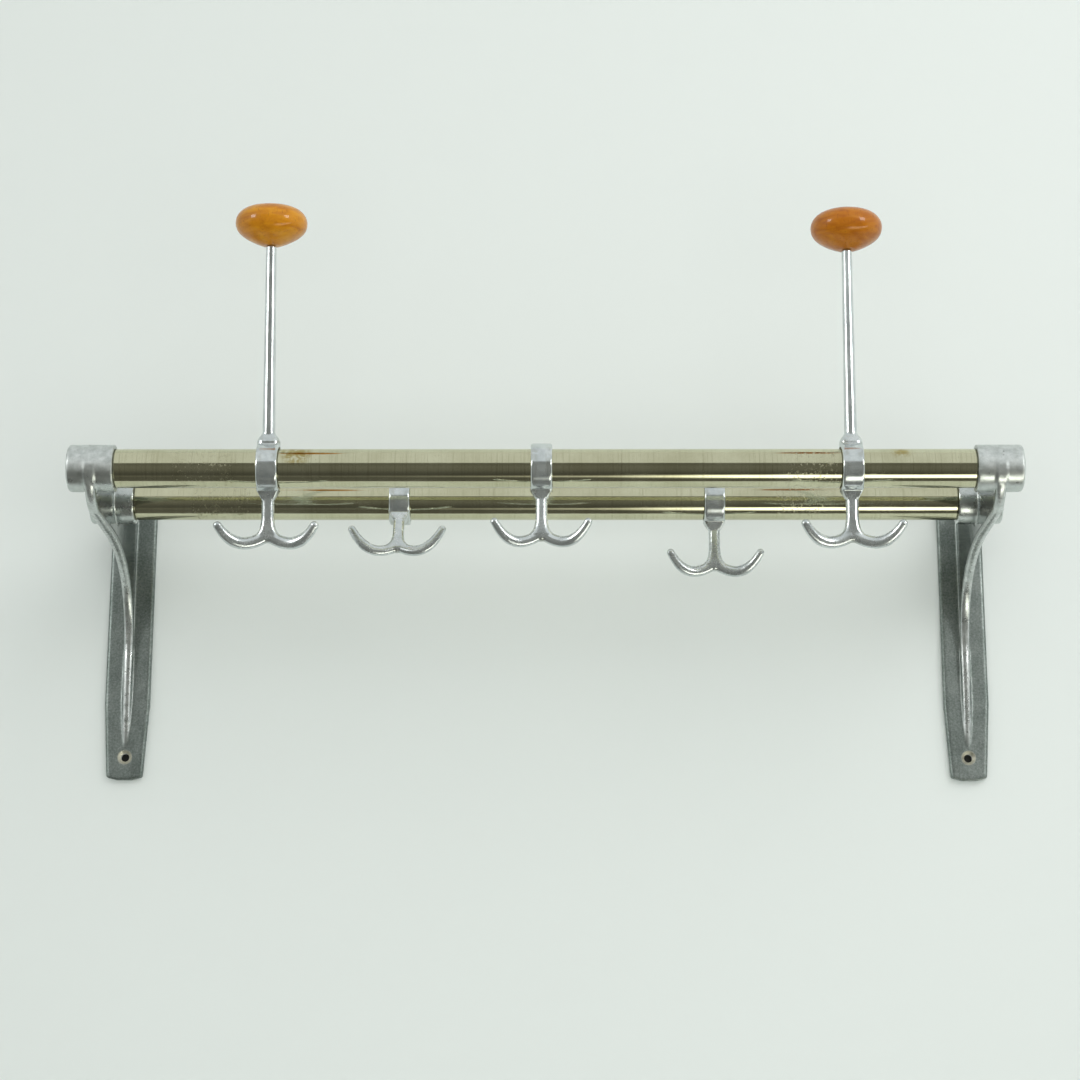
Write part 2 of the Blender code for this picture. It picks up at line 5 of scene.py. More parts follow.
import bpy
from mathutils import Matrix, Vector


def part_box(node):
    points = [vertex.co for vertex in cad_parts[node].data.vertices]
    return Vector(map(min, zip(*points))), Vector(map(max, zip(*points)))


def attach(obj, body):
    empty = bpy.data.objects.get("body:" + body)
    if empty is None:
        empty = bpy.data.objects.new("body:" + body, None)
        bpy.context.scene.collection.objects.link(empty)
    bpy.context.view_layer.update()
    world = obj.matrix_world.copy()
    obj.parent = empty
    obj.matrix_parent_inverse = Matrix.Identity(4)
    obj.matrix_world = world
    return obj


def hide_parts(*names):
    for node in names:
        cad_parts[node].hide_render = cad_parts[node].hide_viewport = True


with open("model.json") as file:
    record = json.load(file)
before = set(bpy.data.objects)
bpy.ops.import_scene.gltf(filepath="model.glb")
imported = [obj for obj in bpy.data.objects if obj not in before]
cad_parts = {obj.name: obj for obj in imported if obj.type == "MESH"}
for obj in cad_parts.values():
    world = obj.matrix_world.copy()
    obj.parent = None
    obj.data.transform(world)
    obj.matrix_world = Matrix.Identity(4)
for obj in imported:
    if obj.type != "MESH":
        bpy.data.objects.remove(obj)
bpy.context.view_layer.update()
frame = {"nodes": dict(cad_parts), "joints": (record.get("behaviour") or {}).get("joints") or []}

MM = 0.001

# Turns that lay an upright cylinder along X or Y
ALONG_X = (0.0, math.pi / 2.0, 0.0)
ALONG_Y = (math.pi / 2.0, 0.0, 0.0)

# Facets, rounding steps, smoothing, and how squarely a face looks along an axis to be chosen by it
ROUND_SIDES = 128
KNOB_SIDES = 64
SMALL_SIDES = 48
SET_HOLE_SIDES = 32
BALL_SIDES = 32
BALL_RINGS = 16
CURVE_STEPS = 24
ROD_STEPS = 8
SHANK_STEPS = 7
CORNER_STEPS = 5
RING_RIM_STEPS = 4
RIM_STEPS = 3
HOOK_SMOOTHING = 12
BRACKET_SMOOTHING = 5
SMOOTH_DEGREES = 38.0
KNOB_SMOOTH_DEGREES = 50.0
SQUARELY = 0.9

# Tubes and the rings of the hooks that ride on them
TUBE_RADIUS = 14.0 * MM
TUBE_WALL = 1.5 * MM
TUBE_RIM = 0.4 * MM
RING_BORE = 15.2 * MM
RING_RADIUS = 17.9 * MM
RING_WIDTH = 15.4 * MM
RING_RIM = 1.5 * MM

# Hook castings, with drops measured from the ring's outer face
SHOULDER_WIDTH = 16.8 * MM
SHOULDER_DEPTH = 13.0 * MM
SHOULDER_DROP = 4.6 * MM
SHANK_DEPTH = 7.6 * MM
SHANK_ROUNDING = 3.6 * MM
SHANK_STATIONS = ((4.0 * MM, 8.4 * MM), (18.0 * MM, 8.4 * MM), (21.5 * MM, 9.0 * MM),
                  (24.3 * MM, 9.8 * MM), (26.3 * MM, 10.8 * MM), (27.8 * MM, 12.2 * MM),
                  (29.5 * MM, 14.6 * MM), (31.4 * MM, 18.4 * MM))
STATION_LAP = 0.4 * MM
CUSP_DROP = 36.2 * MM
BOTTOM_DROP = 40.9 * MM
TIP_DROP = 24.6 * MM
ARM_ROOT_DROP = 31.0 * MM
ARM_ROOT_OFFSET = 1.5 * MM
ARM_ROOT_PULL = 12.5 * MM
ARM_PULL = 9.0 * MM
ARM_SWEEP = 12.0 * MM
ARM_RADIUS = 4.3 * MM
ARM_TAPER_SHARE = 0.66
ARM_TAPER_RADIUS = 4.0 * MM
TIP_RADIUS = 2.9 * MM
ARM_FLATNESS = 0.86
COAT_HOOK_SPAN = 72.4 * MM
HAT_HOOK_SPAN = 75.4 * MM
HAT_HOOK_STOUTNESS = 1.1
STEM_COLLAR_RISE = 9.4 * MM
STEM_SUNK_SHARE = 0.5
COLLAR_STATIONS = ((-2.7 * MM, 16.8 * MM), (1.6 * MM, 16.6 * MM), (4.2 * MM, 14.0 * MM),
                   (6.4 * MM, 10.6 * MM), (8.4 * MM, 8.4 * MM))
COLLAR_ROUNDING = 0.32
COLLAR_FLATNESS = 0.8
STEM_FOOT_RADIUS = 4.6 * MM
STEM_TOP_RADIUS = 3.75 * MM
STEM_LENGTH = 144.5 * MM
SPIGOT_RADIUS = 2.6 * MM
SPIGOT_LENGTH = 13.5 * MM
HOOK_GRAIN = 0.42 * MM

# Hat knobs
KNOB_RADIUS = 26.0 * MM
KNOB_HEIGHT = 29.2 * MM
KNOB_EQUATOR = 16.5 * MM
KNOB_FOOT_RADIUS = 7.2 * MM
KNOB_SEAT = 0.3 * MM
KNOB_FOOT_SHARE = 0.92
KNOB_FOOT_RISE = 0.5 * MM
KNOB_FOOT_FLARE = 0.6 * MM
KNOB_CONE_RISE = 0.34
KNOB_CONE_SPREAD = 0.78
KNOB_BELLY_RISE = 0.56
KNOB_CONE_STEPS = 8
KNOB_CROWN_STEPS = 12
KNOB_FLATNESS = 0.62

# Brackets
BRACKET_X = 324.7 * MM
TUBE_HEIGHT = 179.5 * MM
FRONT_REACH = 186.6 * MM
REAR_REACH = 96.1 * MM
PLATE_WIDTH = 35.0 * MM
PLATE_FOOT_WIDTH = 28.0 * MM
PLATE_THICKNESS = 5.0 * MM
PLATE_TOP = 224.5 * MM
PLATE_BOTTOM = -17.4 * MM
PLATE_TAPER_HEIGHT = 42.0 * MM
PLATE_BEVEL = 1.6 * MM
PLATE_CORNER = 6.0 * MM
FOOT_BULGE = 2.2 * MM
FOOT_FLAT_SHARE = 0.42
FOOT_CORNER = 1.2 * MM
SCREW_HOLE_RADIUS = 3.2 * MM
COUNTERSINK_RADIUS = 5.4 * MM
UPPER_HOLE_HEIGHT = 211.5 * MM
SOCKET_RADIUS = 17.0 * MM
SOCKET_BORE = 14.3 * MM
SOCKET_HALF_LENGTH = 16.6 * MM
SOCKET_END_WALL = 4.5 * MM
SOCKET_ROUNDING = 1.9 * MM
WEB_THICKNESS = 4.6 * MM
WEB_BELLY = 150.5 * MM
WEB_TOP = 189.5 * MM
WEB_FOOT_TOP = 76.0 * MM
WEB_SUNK = 2.5 * MM
WEB_FOOT = -13.0 * MM
WEB_GUSSET = 18.5 * MM
NOSE_SHARE = 0.66
NOSE_FALL = 5.8 * MM
CHIN_SETBACK = 16.0 * MM
LEVEL_PULL = 12.0 * MM
UNDER_REAR_SHARE = 0.4
FOOT_TOP_PROUD = 4.0 * MM
FOOT_TOP_PULL = 52.0 * MM
BEAD_RADIUS = 3.0 * MM
BEAD_HALF_WIDTH = 3.9 * MM
BEAD_PROUD = 1.0 * MM
BEAD_INWARD = ((1.0, 0.8), (0.0, 0.6), (0.0, 0.6), (0.55, 0.0), (0.5, 0.0))
BEAD_END_SHARE = 0.55
BEAD_ROOT_WIDTH = 6.8 * MM
BEAD_ROOT_FORWARD = 0.3 * MM
BEAD_ROOT_DROP = 1.1 * MM
SET_SCREW_HOLE = 2.3 * MM
SET_SCREW_FROM_MOUTH = 7.5 * MM
SET_HOLE_DEPTH = 8.0 * MM
OVERCUT = 1.0 * MM
BRACKET_GRAIN = 0.75 * MM
REAR_SOCKET_POLISH = 0.65
UNDERSIDE_POLISH = 0.5

# The wall, and the dim room that the polish mirrors
WALL_Y = 0.5 * MM
WALL_COLOUR = (0.785, 0.822, 0.795)
FLOOR_COLOUR = (0.62, 0.645, 0.62)
ROOM_CENTRE = (0.0, -140.0 * MM, 180.0 * MM)
ROOM_SIDES = 96
ROOM_RADIUS = 2.5
ROOM_WIDTH = 10.0

# The lamps' aims and the camera, in metres and degrees
RACK_MIDDLE = (0.0, -0.1, 0.15)
FRONT_TUBE_MIDDLE = (0.0, -0.19, 0.2)
WINDOW_POWER = 8.8
WINDOW_SIZE = (0.48, 0.55)
CAMERA_PLACE = (0.0126, -1.9105, -0.3115)
CAMERA_TURN = (104.258, -0.132, 0.496)
CAMERA_LENS = 83.33
SENSOR_WIDTH = 36.0

# How far each hook's top leans towards the viewer
HOOK_TILT = {
    "hat_hook_left": math.radians(8.0),
    "coat_hook_centre": 0.0,
    "hat_hook_right": math.radians(3.5),
    "coat_hook_rear_left": math.radians(-31.5),
    "coat_hook_rear_right": 0.0,
}


# Bench tools

def pick(piece, *others):
    """Selects only these pieces, with the first one active."""
    bpy.ops.object.select_all(action="DESELECT")
    for each in (piece, *others):
        each.select_set(True)
    bpy.context.view_layer.objects.active = piece
    return piece


def settle(piece):
    """Puts a piece's place, turn and size into its mesh."""
    pick(piece)
    bpy.ops.object.transform_apply(location=True, rotation=True, scale=True)
    return piece


def named(name):
    """Names the piece that was just added."""
    piece = bpy.context.object
    piece.name = name
    piece.data.name = name
    return piece


def cylinder(name, radius, depth, place, turn, sides):
    bpy.ops.object.select_all(action="DESELECT")
    bpy.ops.mesh.primitive_cylinder_add(vertices=sides, radius=radius, depth=depth, location=place,
                                        rotation=turn)
    return settle(named(name))


def block(name, size, place):
    bpy.ops.object.select_all(action="DESELECT")
    bpy.ops.mesh.primitive_cube_add(size=1.0, location=place)
    bpy.context.object.scale = size
    return settle(named(name))


def ball(name, radius, place):
    bpy.ops.object.select_all(action="DESELECT")
    bpy.ops.mesh.primitive_uv_sphere_add(segments=BALL_SIDES, ring_count=BALL_RINGS, radius=radius,
                                         location=place)
    return settle(named(name))


def choose_faces(piece, test):
    """Opens a piece in edit mode with only the faces that pass a test selected."""
    pick(piece)
    bpy.ops.object.mode_set(mode="EDIT")
    bpy.ops.mesh.select_mode(type="FACE")
    bpy.ops.mesh.select_all(action="DESELECT")
    bpy.ops.object.mode_set(mode="OBJECT")
    for face in piece.data.polygons:
        face.select = test(face)
    bpy.ops.object.mode_set(mode="EDIT")


def choose_edges(piece, test):
    """Opens a piece in edit mode with only the edges that pass a test of their two ends selected."""
    pick(piece)
    bpy.ops.object.mode_set(mode="EDIT")
    bpy.ops.mesh.select_mode(type="EDGE")
    bpy.ops.mesh.select_all(action="DESELECT")
    bpy.ops.object.mode_set(mode="OBJECT")
    points = piece.data.vertices
    for edge in piece.data.edges:
        edge.select = test(*(points[i].co for i in edge.vertices))
    bpy.ops.object.mode_set(mode="EDIT")


def close_edit():
    bpy.ops.object.mode_set(mode="OBJECT")


def modify(piece, kind, **settings):
    """Adds a modifier and applies it."""
    pick(piece)
    step = piece.modifiers.new(kind.lower(), kind)
    for key, value in settings.items():
        setattr(step, key, value)
    bpy.ops.object.modifier_apply(modifier=step.name)
    return piece


def join(piece, *others):
    pick(piece, *others)
    bpy.ops.object.join()
    return piece


def recalculate(piece):
    """Merges doubles and turns the faces outwards."""
    pick(piece)
    bpy.ops.object.mode_set(mode="EDIT")
    bpy.ops.mesh.select_all(action="SELECT")
    bpy.ops.mesh.remove_doubles(threshold=0.001 * MM)
    bpy.ops.mesh.normals_make_consistent(inside=False)
    bpy.ops.object.mode_set(mode="OBJECT")
    return piece


def cut(piece, cutter):
    """Cuts one piece with another and throws the cutter away."""
    modify(piece, "BOOLEAN", operation="DIFFERENCE", solver="EXACT", object=cutter)
    bpy.data.objects.remove(cutter, do_unlink=True)
    return piece


def soften(piece, grain, passes):
    """Fuses overlapping shapes into one skin, as a casting has, and rounds its corners."""
    modify(piece, "REMESH", mode="VOXEL", voxel_size=grain)
    modify(piece, "SMOOTH", factor=0.5, iterations=passes)
    return piece


def smooth_shading(piece, degrees=SMOOTH_DEGREES):
    pick(piece)
    bpy.ops.object.shade_smooth_by_angle(angle=math.radians(degrees))
    return piece


def fade(value, low, high):
    """1 up to a low value, falling evenly to 0 at a high one."""
    return min(1.0, max(0.0, (high - value) / (high - low)))


def mark(piece, name, measure):
    """Stores a share from 0 to 1 on each point of a piece, for its finish to read."""
    shares = piece.data.attributes.new(name, "FLOAT", "POINT")
    for point, share in zip(piece.data.vertices, shares.data):
        share.value = measure(point.co, point.normal)


def copied(piece, name):
    """A copy with its own mesh."""
    pick(piece)
    bpy.ops.object.duplicate(linked=False)
    return named(name)


def rod(name, points, radii, pulls):
    """A bent rod along a curve, with its own thickness at each point."""
    bpy.ops.object.select_all(action="DESELECT")
    bpy.ops.curve.primitive_bezier_curve_add()
    made = named(name)
    line = made.data
    line.dimensions = "3D"
    line.bevel_depth = 1.0
    line.bevel_resolution = ROD_STEPS
    line.resolution_u = CURVE_STEPS
    line.use_fill_caps = True
    spline = line.splines[0]
    spline.bezier_points.add(len(points) - len(spline.bezier_points))
    for knot, place, radius, (back, onward) in zip(spline.bezier_points, points, radii, pulls):
        knot.co = place
        knot.radius = radius
        knot.handle_left_type = knot.handle_right_type = "FREE"
        knot.handle_left = back
        knot.handle_right = onward
    pick(made)
    bpy.ops.object.convert(target="MESH")
    return recalculate(settle(named(name)))


# Tubes

def make_tube(name):
    """A drawn tube: its ends are inset to the wall's thickness and bridged into a bore."""
    low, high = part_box(name)
    middle = (low + high) / 2.0
    length = high.x - low.x
    piece = cylinder(name + "_nickel", TUBE_RADIUS, length, middle, ALONG_X, ROUND_SIDES)
    choose_faces(piece, lambda face: abs(face.normal.x) > SQUARELY)
    bpy.ops.mesh.inset(thickness=TUBE_WALL, use_even_offset=True)
    bpy.ops.mesh.bridge_edge_loops()
    close_edit()
    at_end = length / 2.0 - TUBE_RIM
    outside = TUBE_RADIUS - TUBE_WALL / 2.0

    def on_rim(a, b):
        far = min(abs(a.x - middle.x), abs(b.x - middle.x)) > at_end
        return far and min((a.yz - middle.yz).length, (b.yz - middle.yz).length) > outside

    choose_edges(piece, on_rim)
    bpy.ops.mesh.bevel(offset=TUBE_RIM, segments=RIM_STEPS)
    close_edit()
    smooth_shading(recalculate(piece))
    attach(piece, "rack")
    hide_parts(name)
    piece.data.materials.append(nickel)
    return piece


# Hooks

def ring_band():
    """The ring's outer band, with rounded rims."""
    band = cylinder("ring", RING_RADIUS, RING_WIDTH, (0.0, 0.0, 0.0), ALONG_X, ROUND_SIDES)
    choose_edges(band, lambda a, b: abs(a.x - b.x) < RING_RIM)
    bpy.ops.mesh.bevel(offset=RING_RIM, segments=RING_RIM_STEPS)
    close_edit()
    return band


def tapered_block(name, top, bottom, upper, lower):
    """A block between two heights whose lower face has its own width and depth."""
    made = block(name, (upper[0], upper[1], top - bottom), (0.0, 0.0, (top + bottom) / 2.0))
    choose_faces(made, lambda face: face.normal.z < -SQUARELY)
    bpy.ops.transform.resize(value=(lower[0] / upper[0], lower[1] / upper[1], 1.0))
    close_edit()
    return made


def shank(stoutness):
    """The shoulder under the ring, and the rounded shank that spreads into the arms."""
    made = tapered_block("shoulder", -RING_BORE, -RING_RADIUS - SHOULDER_DROP,
                         (SHOULDER_WIDTH, SHOULDER_DEPTH), (SHANK_STATIONS[0][1] * stoutness, SHANK_DEPTH))
    for (drop, width), (next_drop, next_width) in zip(SHANK_STATIONS, SHANK_STATIONS[1:]):
        length = tapered_block("shank", -RING_RADIUS - drop + STATION_LAP, -RING_RADIUS - next_drop,
                               (width * stoutness, SHANK_DEPTH), (next_width * stoutness, SHANK_DEPTH))
        choose_edges(length, lambda a, b: abs(a.z - b.z) > MM)
        bpy.ops.mesh.bevel(offset=SHANK_ROUNDING, segments=SHANK_STEPS)
        close_edit()
        join(made, length)
    cusp_radius = SHANK_DEPTH / 2.0
    return join(made, ball("cusp", cusp_radius, (0.0, 0.0, -RING_RADIUS - CUSP_DROP + cusp_radius)))


def arm(side, span, stoutness):
    """One arm: down out of the shank, outwards, forwards and up to a tapered, rounded tip.

    Its curve is split where the taper starts, so that the part before keeps its thickness.
    """
    sweep = -ARM_SWEEP / ARM_FLATNESS
    tip = Vector((side * (span / 2.0 - TIP_RADIUS * stoutness), sweep, -RING_RADIUS - TIP_DROP))
    start = Vector((side * ARM_ROOT_OFFSET, 0.0, -RING_RADIUS - ARM_ROOT_DROP))
    dip = (BOTTOM_DROP - ARM_RADIUS * stoutness - (ARM_ROOT_DROP + TIP_DROP) / 8.0) * 8.0 / 6.0
    first_pull = Vector((side * (ARM_ROOT_OFFSET + ARM_ROOT_PULL), 0.0, -RING_RADIUS - dip))
    last_pull = Vector((tip.x - side * ARM_PULL, sweep / 3.0, -RING_RADIUS - dip))
    before = start.lerp(first_pull, ARM_TAPER_SHARE)
    between = first_pull.lerp(last_pull, ARM_TAPER_SHARE)
    after = last_pull.lerp(tip, ARM_TAPER_SHARE)
    left = before.lerp(between, ARM_TAPER_SHARE)
    right = between.lerp(after, ARM_TAPER_SHARE)
    taper = left.lerp(right, ARM_TAPER_SHARE)
    radii = [radius * stoutness for radius in (ARM_RADIUS, ARM_TAPER_RADIUS, TIP_RADIUS)]
    bar = rod("arm", (start, taper, tip), radii, ((start, before), (left, right), (after, tip)))
    join(bar, ball("arm_tip", TIP_RADIUS * stoutness, tip))
    bar.scale.y = ARM_FLATNESS
    return settle(bar)


def hat_stem():
    """The collar over the ring, the tapering stem and the spigot that the knob sits on."""
    steps = []
    for (rise, width), (next_rise, next_width) in zip(COLLAR_STATIONS, COLLAR_STATIONS[1:]):
        step = tapered_block("collar", -RING_RADIUS - rise + STATION_LAP, -RING_RADIUS - next_rise,
                             (width, COLLAR_FLATNESS * width), (next_width, COLLAR_FLATNESS * next_width))
        choose_edges(step, lambda a, b: abs(a.z - b.z) > MM)
        bpy.ops.mesh.bevel(offset=COLLAR_ROUNDING * next_width, segments=CORNER_STEPS)
        close_edit()
        steps.append(step)
    collar = join(*steps)
    collar.rotation_euler = (math.pi, 0.0, 0.0)
    settle(collar)
    foot = RING_RADIUS + STEM_COLLAR_RISE * STEM_SUNK_SHARE
    top = RING_RADIUS + STEM_LENGTH
    bpy.ops.object.select_all(action="DESELECT")
    bpy.ops.mesh.primitive_cone_add(vertices=SMALL_SIDES, radius1=STEM_FOOT_RADIUS, radius2=STEM_TOP_RADIUS,
                                    depth=top - foot, location=(0.0, 0.0, (foot + top) / 2.0))
    stem = settle(named("stem"))
    choose_faces(stem, lambda face: face.normal.z > SQUARELY)
    bpy.ops.mesh.inset(thickness=STEM_TOP_RADIUS - SPIGOT_RADIUS)
    bpy.ops.mesh.extrude_region_move(TRANSFORM_OT_translate={"value": (0.0, 0.0, SPIGOT_LENGTH)})
    close_edit()
    return join(collar, stem)


def hook_casting(name, span, stoutness, has_stem):
    """One hook about its ring's axis: the shapes are fused into one skin, and the ring is bored last."""
    piece = join(ring_band(), shank(stoutness), arm(1.0, span, stoutness), arm(-1.0, span, stoutness))
    if has_stem:
        join(piece, hat_stem())
    piece.name = name
    soften(piece, HOOK_GRAIN, HOOK_SMOOTHING)
    cut(piece, cylinder("bore", RING_BORE, 2.0 * SHOULDER_WIDTH, (0.0, 0.0, 0.0), ALONG_X, ROUND_SIDES))
    mark(piece, "ring", lambda place, _: fade(place.yz.length, RING_RADIUS, RING_RADIUS + MM))
    # Where the corners by the ring and the cusp get painted shade
    mark(piece, "hollow_shade", shade_in_hollows)
    mark(piece, "stem", lambda place, _: fade(-place.z, -RING_RADIUS - STEM_COLLAR_RISE, -RING_RADIUS))
    return smooth_shading(piece)


def shade_in_hollows(place, _):
    """The corners under and over the ring and the cusp between the arms, which get painted shade."""
    off_ring = abs(place.yz.length - RING_RADIUS - 2.0 * MM)
    beside = fade(-abs(place.x), -SHOULDER_WIDTH / 4.0, -SHOULDER_WIDTH / 8.0)
    corner = fade(off_ring, MM, 3.0 * MM) * beside
    low = -RING_RADIUS - CUSP_DROP
    cusp = fade(abs(place.x), MM, 5.0 * MM) * fade(place.z, low + MM, low + 3.0 * MM)
    return max(corner, cusp)


def tube_axis(hook):
    """The point on the tube's axis that a hook turns about."""
    for joint in frame["joints"]:
        if joint["name"] == "turn_" + hook:
            return Vector(joint["pos_m"])
    raise KeyError(hook)


def place_hook(model, name):
    """Copies a hook, leans it, and hangs it on its tube."""
    piece = copied(model, name + "_casting")
    piece.rotation_euler = (HOOK_TILT[name], 0.0, 0.0)
    piece.location = tube_axis(name)
    settle(piece)
    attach(piece, name)
    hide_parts(name)
    piece.data.materials.append(polished_casting)
    return piece


# Knobs

def knob_shape():
    """A turned knob on the Z axis: a blind hole, a small foot, a conical underside and a domed top."""
    bpy.ops.object.select_all(action="DESELECT")
    radius = SPIGOT_RADIUS + KNOB_SEAT
    height = SPIGOT_LENGTH + KNOB_SEAT
    bpy.ops.mesh.primitive_circle_add(vertices=KNOB_SIDES, radius=radius, fill_type="NGON",
                                      location=(0.0, 0.0, height))
    piece = settle(named("knob"))
    crown = KNOB_HEIGHT - KNOB_EQUATOR
    profile = [(0.0, radius), (0.0, KNOB_FOOT_SHARE * KNOB_FOOT_RADIUS),
               (KNOB_FOOT_RISE, KNOB_FOOT_RADIUS + KNOB_FOOT_FLARE)]
    for i in range(1, KNOB_CONE_STEPS + 1):
        t = i / KNOB_CONE_STEPS
        s = 1.0 - t
        cone = 3.0 * s * s * t
        belly = 3.0 * s * t * t
        rise = (cone * KNOB_CONE_RISE + belly * KNOB_BELLY_RISE + t ** 3) * KNOB_EQUATOR
        spread = s ** 3 * KNOB_FOOT_RADIUS + (cone * KNOB_CONE_SPREAD + belly + t ** 3) * KNOB_RADIUS
        profile.append((rise, spread))
    for i in range(1, KNOB_CROWN_STEPS):
        angle = math.pi / 2.0 * i / KNOB_CROWN_STEPS
        profile.append((KNOB_EQUATOR + crown * math.sin(angle),
                        KNOB_RADIUS * math.cos(angle) ** KNOB_FLATNESS))
    choose_edges(piece, lambda a, b: True)
    bpy.ops.mesh.select_all(action="SELECT")
    for next_height, next_radius in profile:
        bpy.ops.mesh.extrude_edges_move(TRANSFORM_OT_translate={"value": (0.0, 0.0, next_height - height)})
        bpy.ops.transform.resize(value=(next_radius / radius, next_radius / radius, 1.0))
        height, radius = next_height, next_radius
    bpy.ops.mesh.extrude_edges_move(TRANSFORM_OT_translate={"value": (0.0, 0.0, KNOB_HEIGHT - height)})
    bpy.ops.mesh.merge(type="CENTER")
    close_edit()
    recalculate(piece)
    return smooth_shading(piece, KNOB_SMOOTH_DEGREES)


def place_knob(model, side):
    """Copies a knob, leans it with its hook, and sets it on the spigot."""
    hook = "hat_hook_" + side
    piece = copied(model, "hat_knob_" + side + "_lacquer")
    reach = RING_RADIUS + STEM_LENGTH + KNOB_SEAT
    tilt = HOOK_TILT[hook]
    lift = Vector((0.0, -math.sin(tilt) * reach, math.cos(tilt) * reach))
    piece.rotation_euler = (tilt, 0.0, 0.0)
    piece.location = tube_axis(hook) + lift
    settle(piece)
    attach(piece, hook)
    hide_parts("hat_knob_" + side)
    piece.data.materials.append(amber_lacquer)
    return piece


# Brackets

def wall_plate():
    """The plate: a block that tapers to a bowed foot, with chamfered front edges."""
    height = PLATE_TOP - PLATE_BOTTOM
    plate = block("plate", (PLATE_WIDTH, PLATE_THICKNESS, height),
                  (0.0, -PLATE_THICKNESS / 2.0, PLATE_BOTTOM + height / 2.0))
    pick(plate)
    bpy.ops.object.mode_set(mode="EDIT")
    bpy.ops.mesh.select_all(action="SELECT")
    bpy.ops.mesh.bisect(plane_co=(0.0, 0.0, PLATE_TAPER_HEIGHT), plane_no=(0.0, 0.0, 1.0))
    close_edit()
    low = PLATE_BOTTOM + FOOT_BULGE
    choose_faces(plate, lambda face: face.normal.z < -SQUARELY)
    bpy.ops.transform.resize(value=(PLATE_FOOT_WIDTH / PLATE_WIDTH, 1.0, 1.0))
    bpy.ops.transform.translate(value=(0.0, 0.0, FOOT_BULGE))
    bpy.ops.mesh.extrude_region_move(TRANSFORM_OT_translate={"value": (0.0, 0.0, -FOOT_BULGE)})
    bpy.ops.transform.resize(value=(FOOT_FLAT_SHARE, 1.0, 1.0))
    close_edit()
    choose_edges(plate, lambda a, b: min(a.z, b.z) > PLATE_TOP - MM and abs(a.x - b.x) < MM)
    bpy.ops.mesh.bevel(offset=PLATE_CORNER, segments=CORNER_STEPS)
    close_edit()
    choose_edges(plate, lambda a, b: max(abs(a.z - low), abs(b.z - low), abs(a.x - b.x)) < MM)
    bpy.ops.mesh.bevel(offset=FOOT_CORNER, segments=RIM_STEPS)
    close_edit()
    choose_faces(plate, lambda face: face.normal.y < -SQUARELY)
    bpy.ops.mesh.inset(thickness=PLATE_BEVEL)
    close_edit()
    points = plate.data.vertices
    front = {i for face in plate.data.polygons if face.normal.y < -SQUARELY for i in face.vertices}
    for i in front:
        if on_plate_edge(points[i].co):
            points[i].co.y = -PLATE_THICKNESS + PLATE_BEVEL
    return plate


def on_plate_edge(point):
    """Whether a point of the plate's front lies on its outline."""
    half = PLATE_WIDTH / 2.0
    if point.z < PLATE_TAPER_HEIGHT:
        share = (point.z - PLATE_BOTTOM - FOOT_BULGE) / (PLATE_TAPER_HEIGHT - PLATE_BOTTOM - FOOT_BULGE)
        half = PLATE_FOOT_WIDTH / 2.0 + max(share, 0.0) * (PLATE_WIDTH - PLATE_FOOT_WIDTH) / 2.0
    return abs(point.x) > half - 0.5 * PLATE_BEVEL


def web_line():
    """The web's lower edge from the front socket to the foot: knots in the YZ plane with their pulls."""
    nose_drop = NOSE_SHARE * SOCKET_RADIUS
    nose = Vector((0.0, -FRONT_REACH - nose_drop, TUBE_HEIGHT - nose_drop))
    chin = Vector((0.0, -FRONT_REACH + CHIN_SETBACK, WEB_BELLY))
    flat_end = Vector((0.0, -REAR_REACH - SOCKET_RADIUS, WEB_BELLY))
    foot_top = Vector((0.0, -PLATE_THICKNESS - FOOT_TOP_PROUD, WEB_FOOT_TOP))
    foot = Vector((0.0, -WEB_SUNK, WEB_FOOT))
    fall = Vector((0.0, 0.0, -NOSE_FALL))
    back = Vector((0.0, LEVEL_PULL, 0.0))
    rise = Vector((0.0, 0.0, FOOT_TOP_PULL))
    under_rear = Vector((0.0, flat_end.y * UNDER_REAR_SHARE, WEB_BELLY))
    points = (nose, chin, flat_end, foot_top, foot)
    pulls = ((nose - fall, nose + fall), (chin - back, chin + back), (flat_end - back, under_rear),
             (foot_top + rise, foot_top - rise / 3.0), (foot - fall, foot + fall))
    return points, pulls


def web():
    """The web: its outline is filled, and pushed out to the web's thickness."""
    points, pulls = web_line()
    corners = [Vector((0.0, -WEB_SUNK, WEB_TOP + WEB_GUSSET)),
               Vector((0.0, -WEB_SUNK - WEB_GUSSET, WEB_TOP)),
               Vector((0.0, -FRONT_REACH, WEB_TOP))]
    bpy.ops.object.select_all(action="DESELECT")
    bpy.ops.curve.primitive_bezier_curve_add()
    made = named("web")
    made.data.dimensions = "2D"
    made.data.fill_mode = "BOTH"
    made.data.extrude = WEB_THICKNESS / 2.0
    made.data.resolution_u = CURVE_STEPS
    spline = made.data.splines[0]
    spline.use_cyclic_u = True
    spline.bezier_points.add(len(points) + len(corners) - len(spline.bezier_points))
    knots = spline.bezier_points
    for knot, place, (back, onward) in zip(knots, points, pulls):
        knot.handle_left_type = knot.handle_right_type = "FREE"
        knot.co = (place.y, place.z, 0.0)
        knot.handle_left = (back.y, back.z, 0.0)
        knot.handle_right = (onward.y, onward.z, 0.0)
    for knot, place in zip(knots[len(points):], corners):
        knot.handle_left_type = knot.handle_right_type = "VECTOR"
        knot.co = (place.y, place.z, 0.0)
    knots[0].handle_left = knots[0].co
    pick(made)
    bpy.ops.object.convert(target="MESH")
    made = named("web")
    made.rotation_euler = (math.pi / 2.0, 0.0, math.pi / 2.0)
    return recalculate(settle(made))


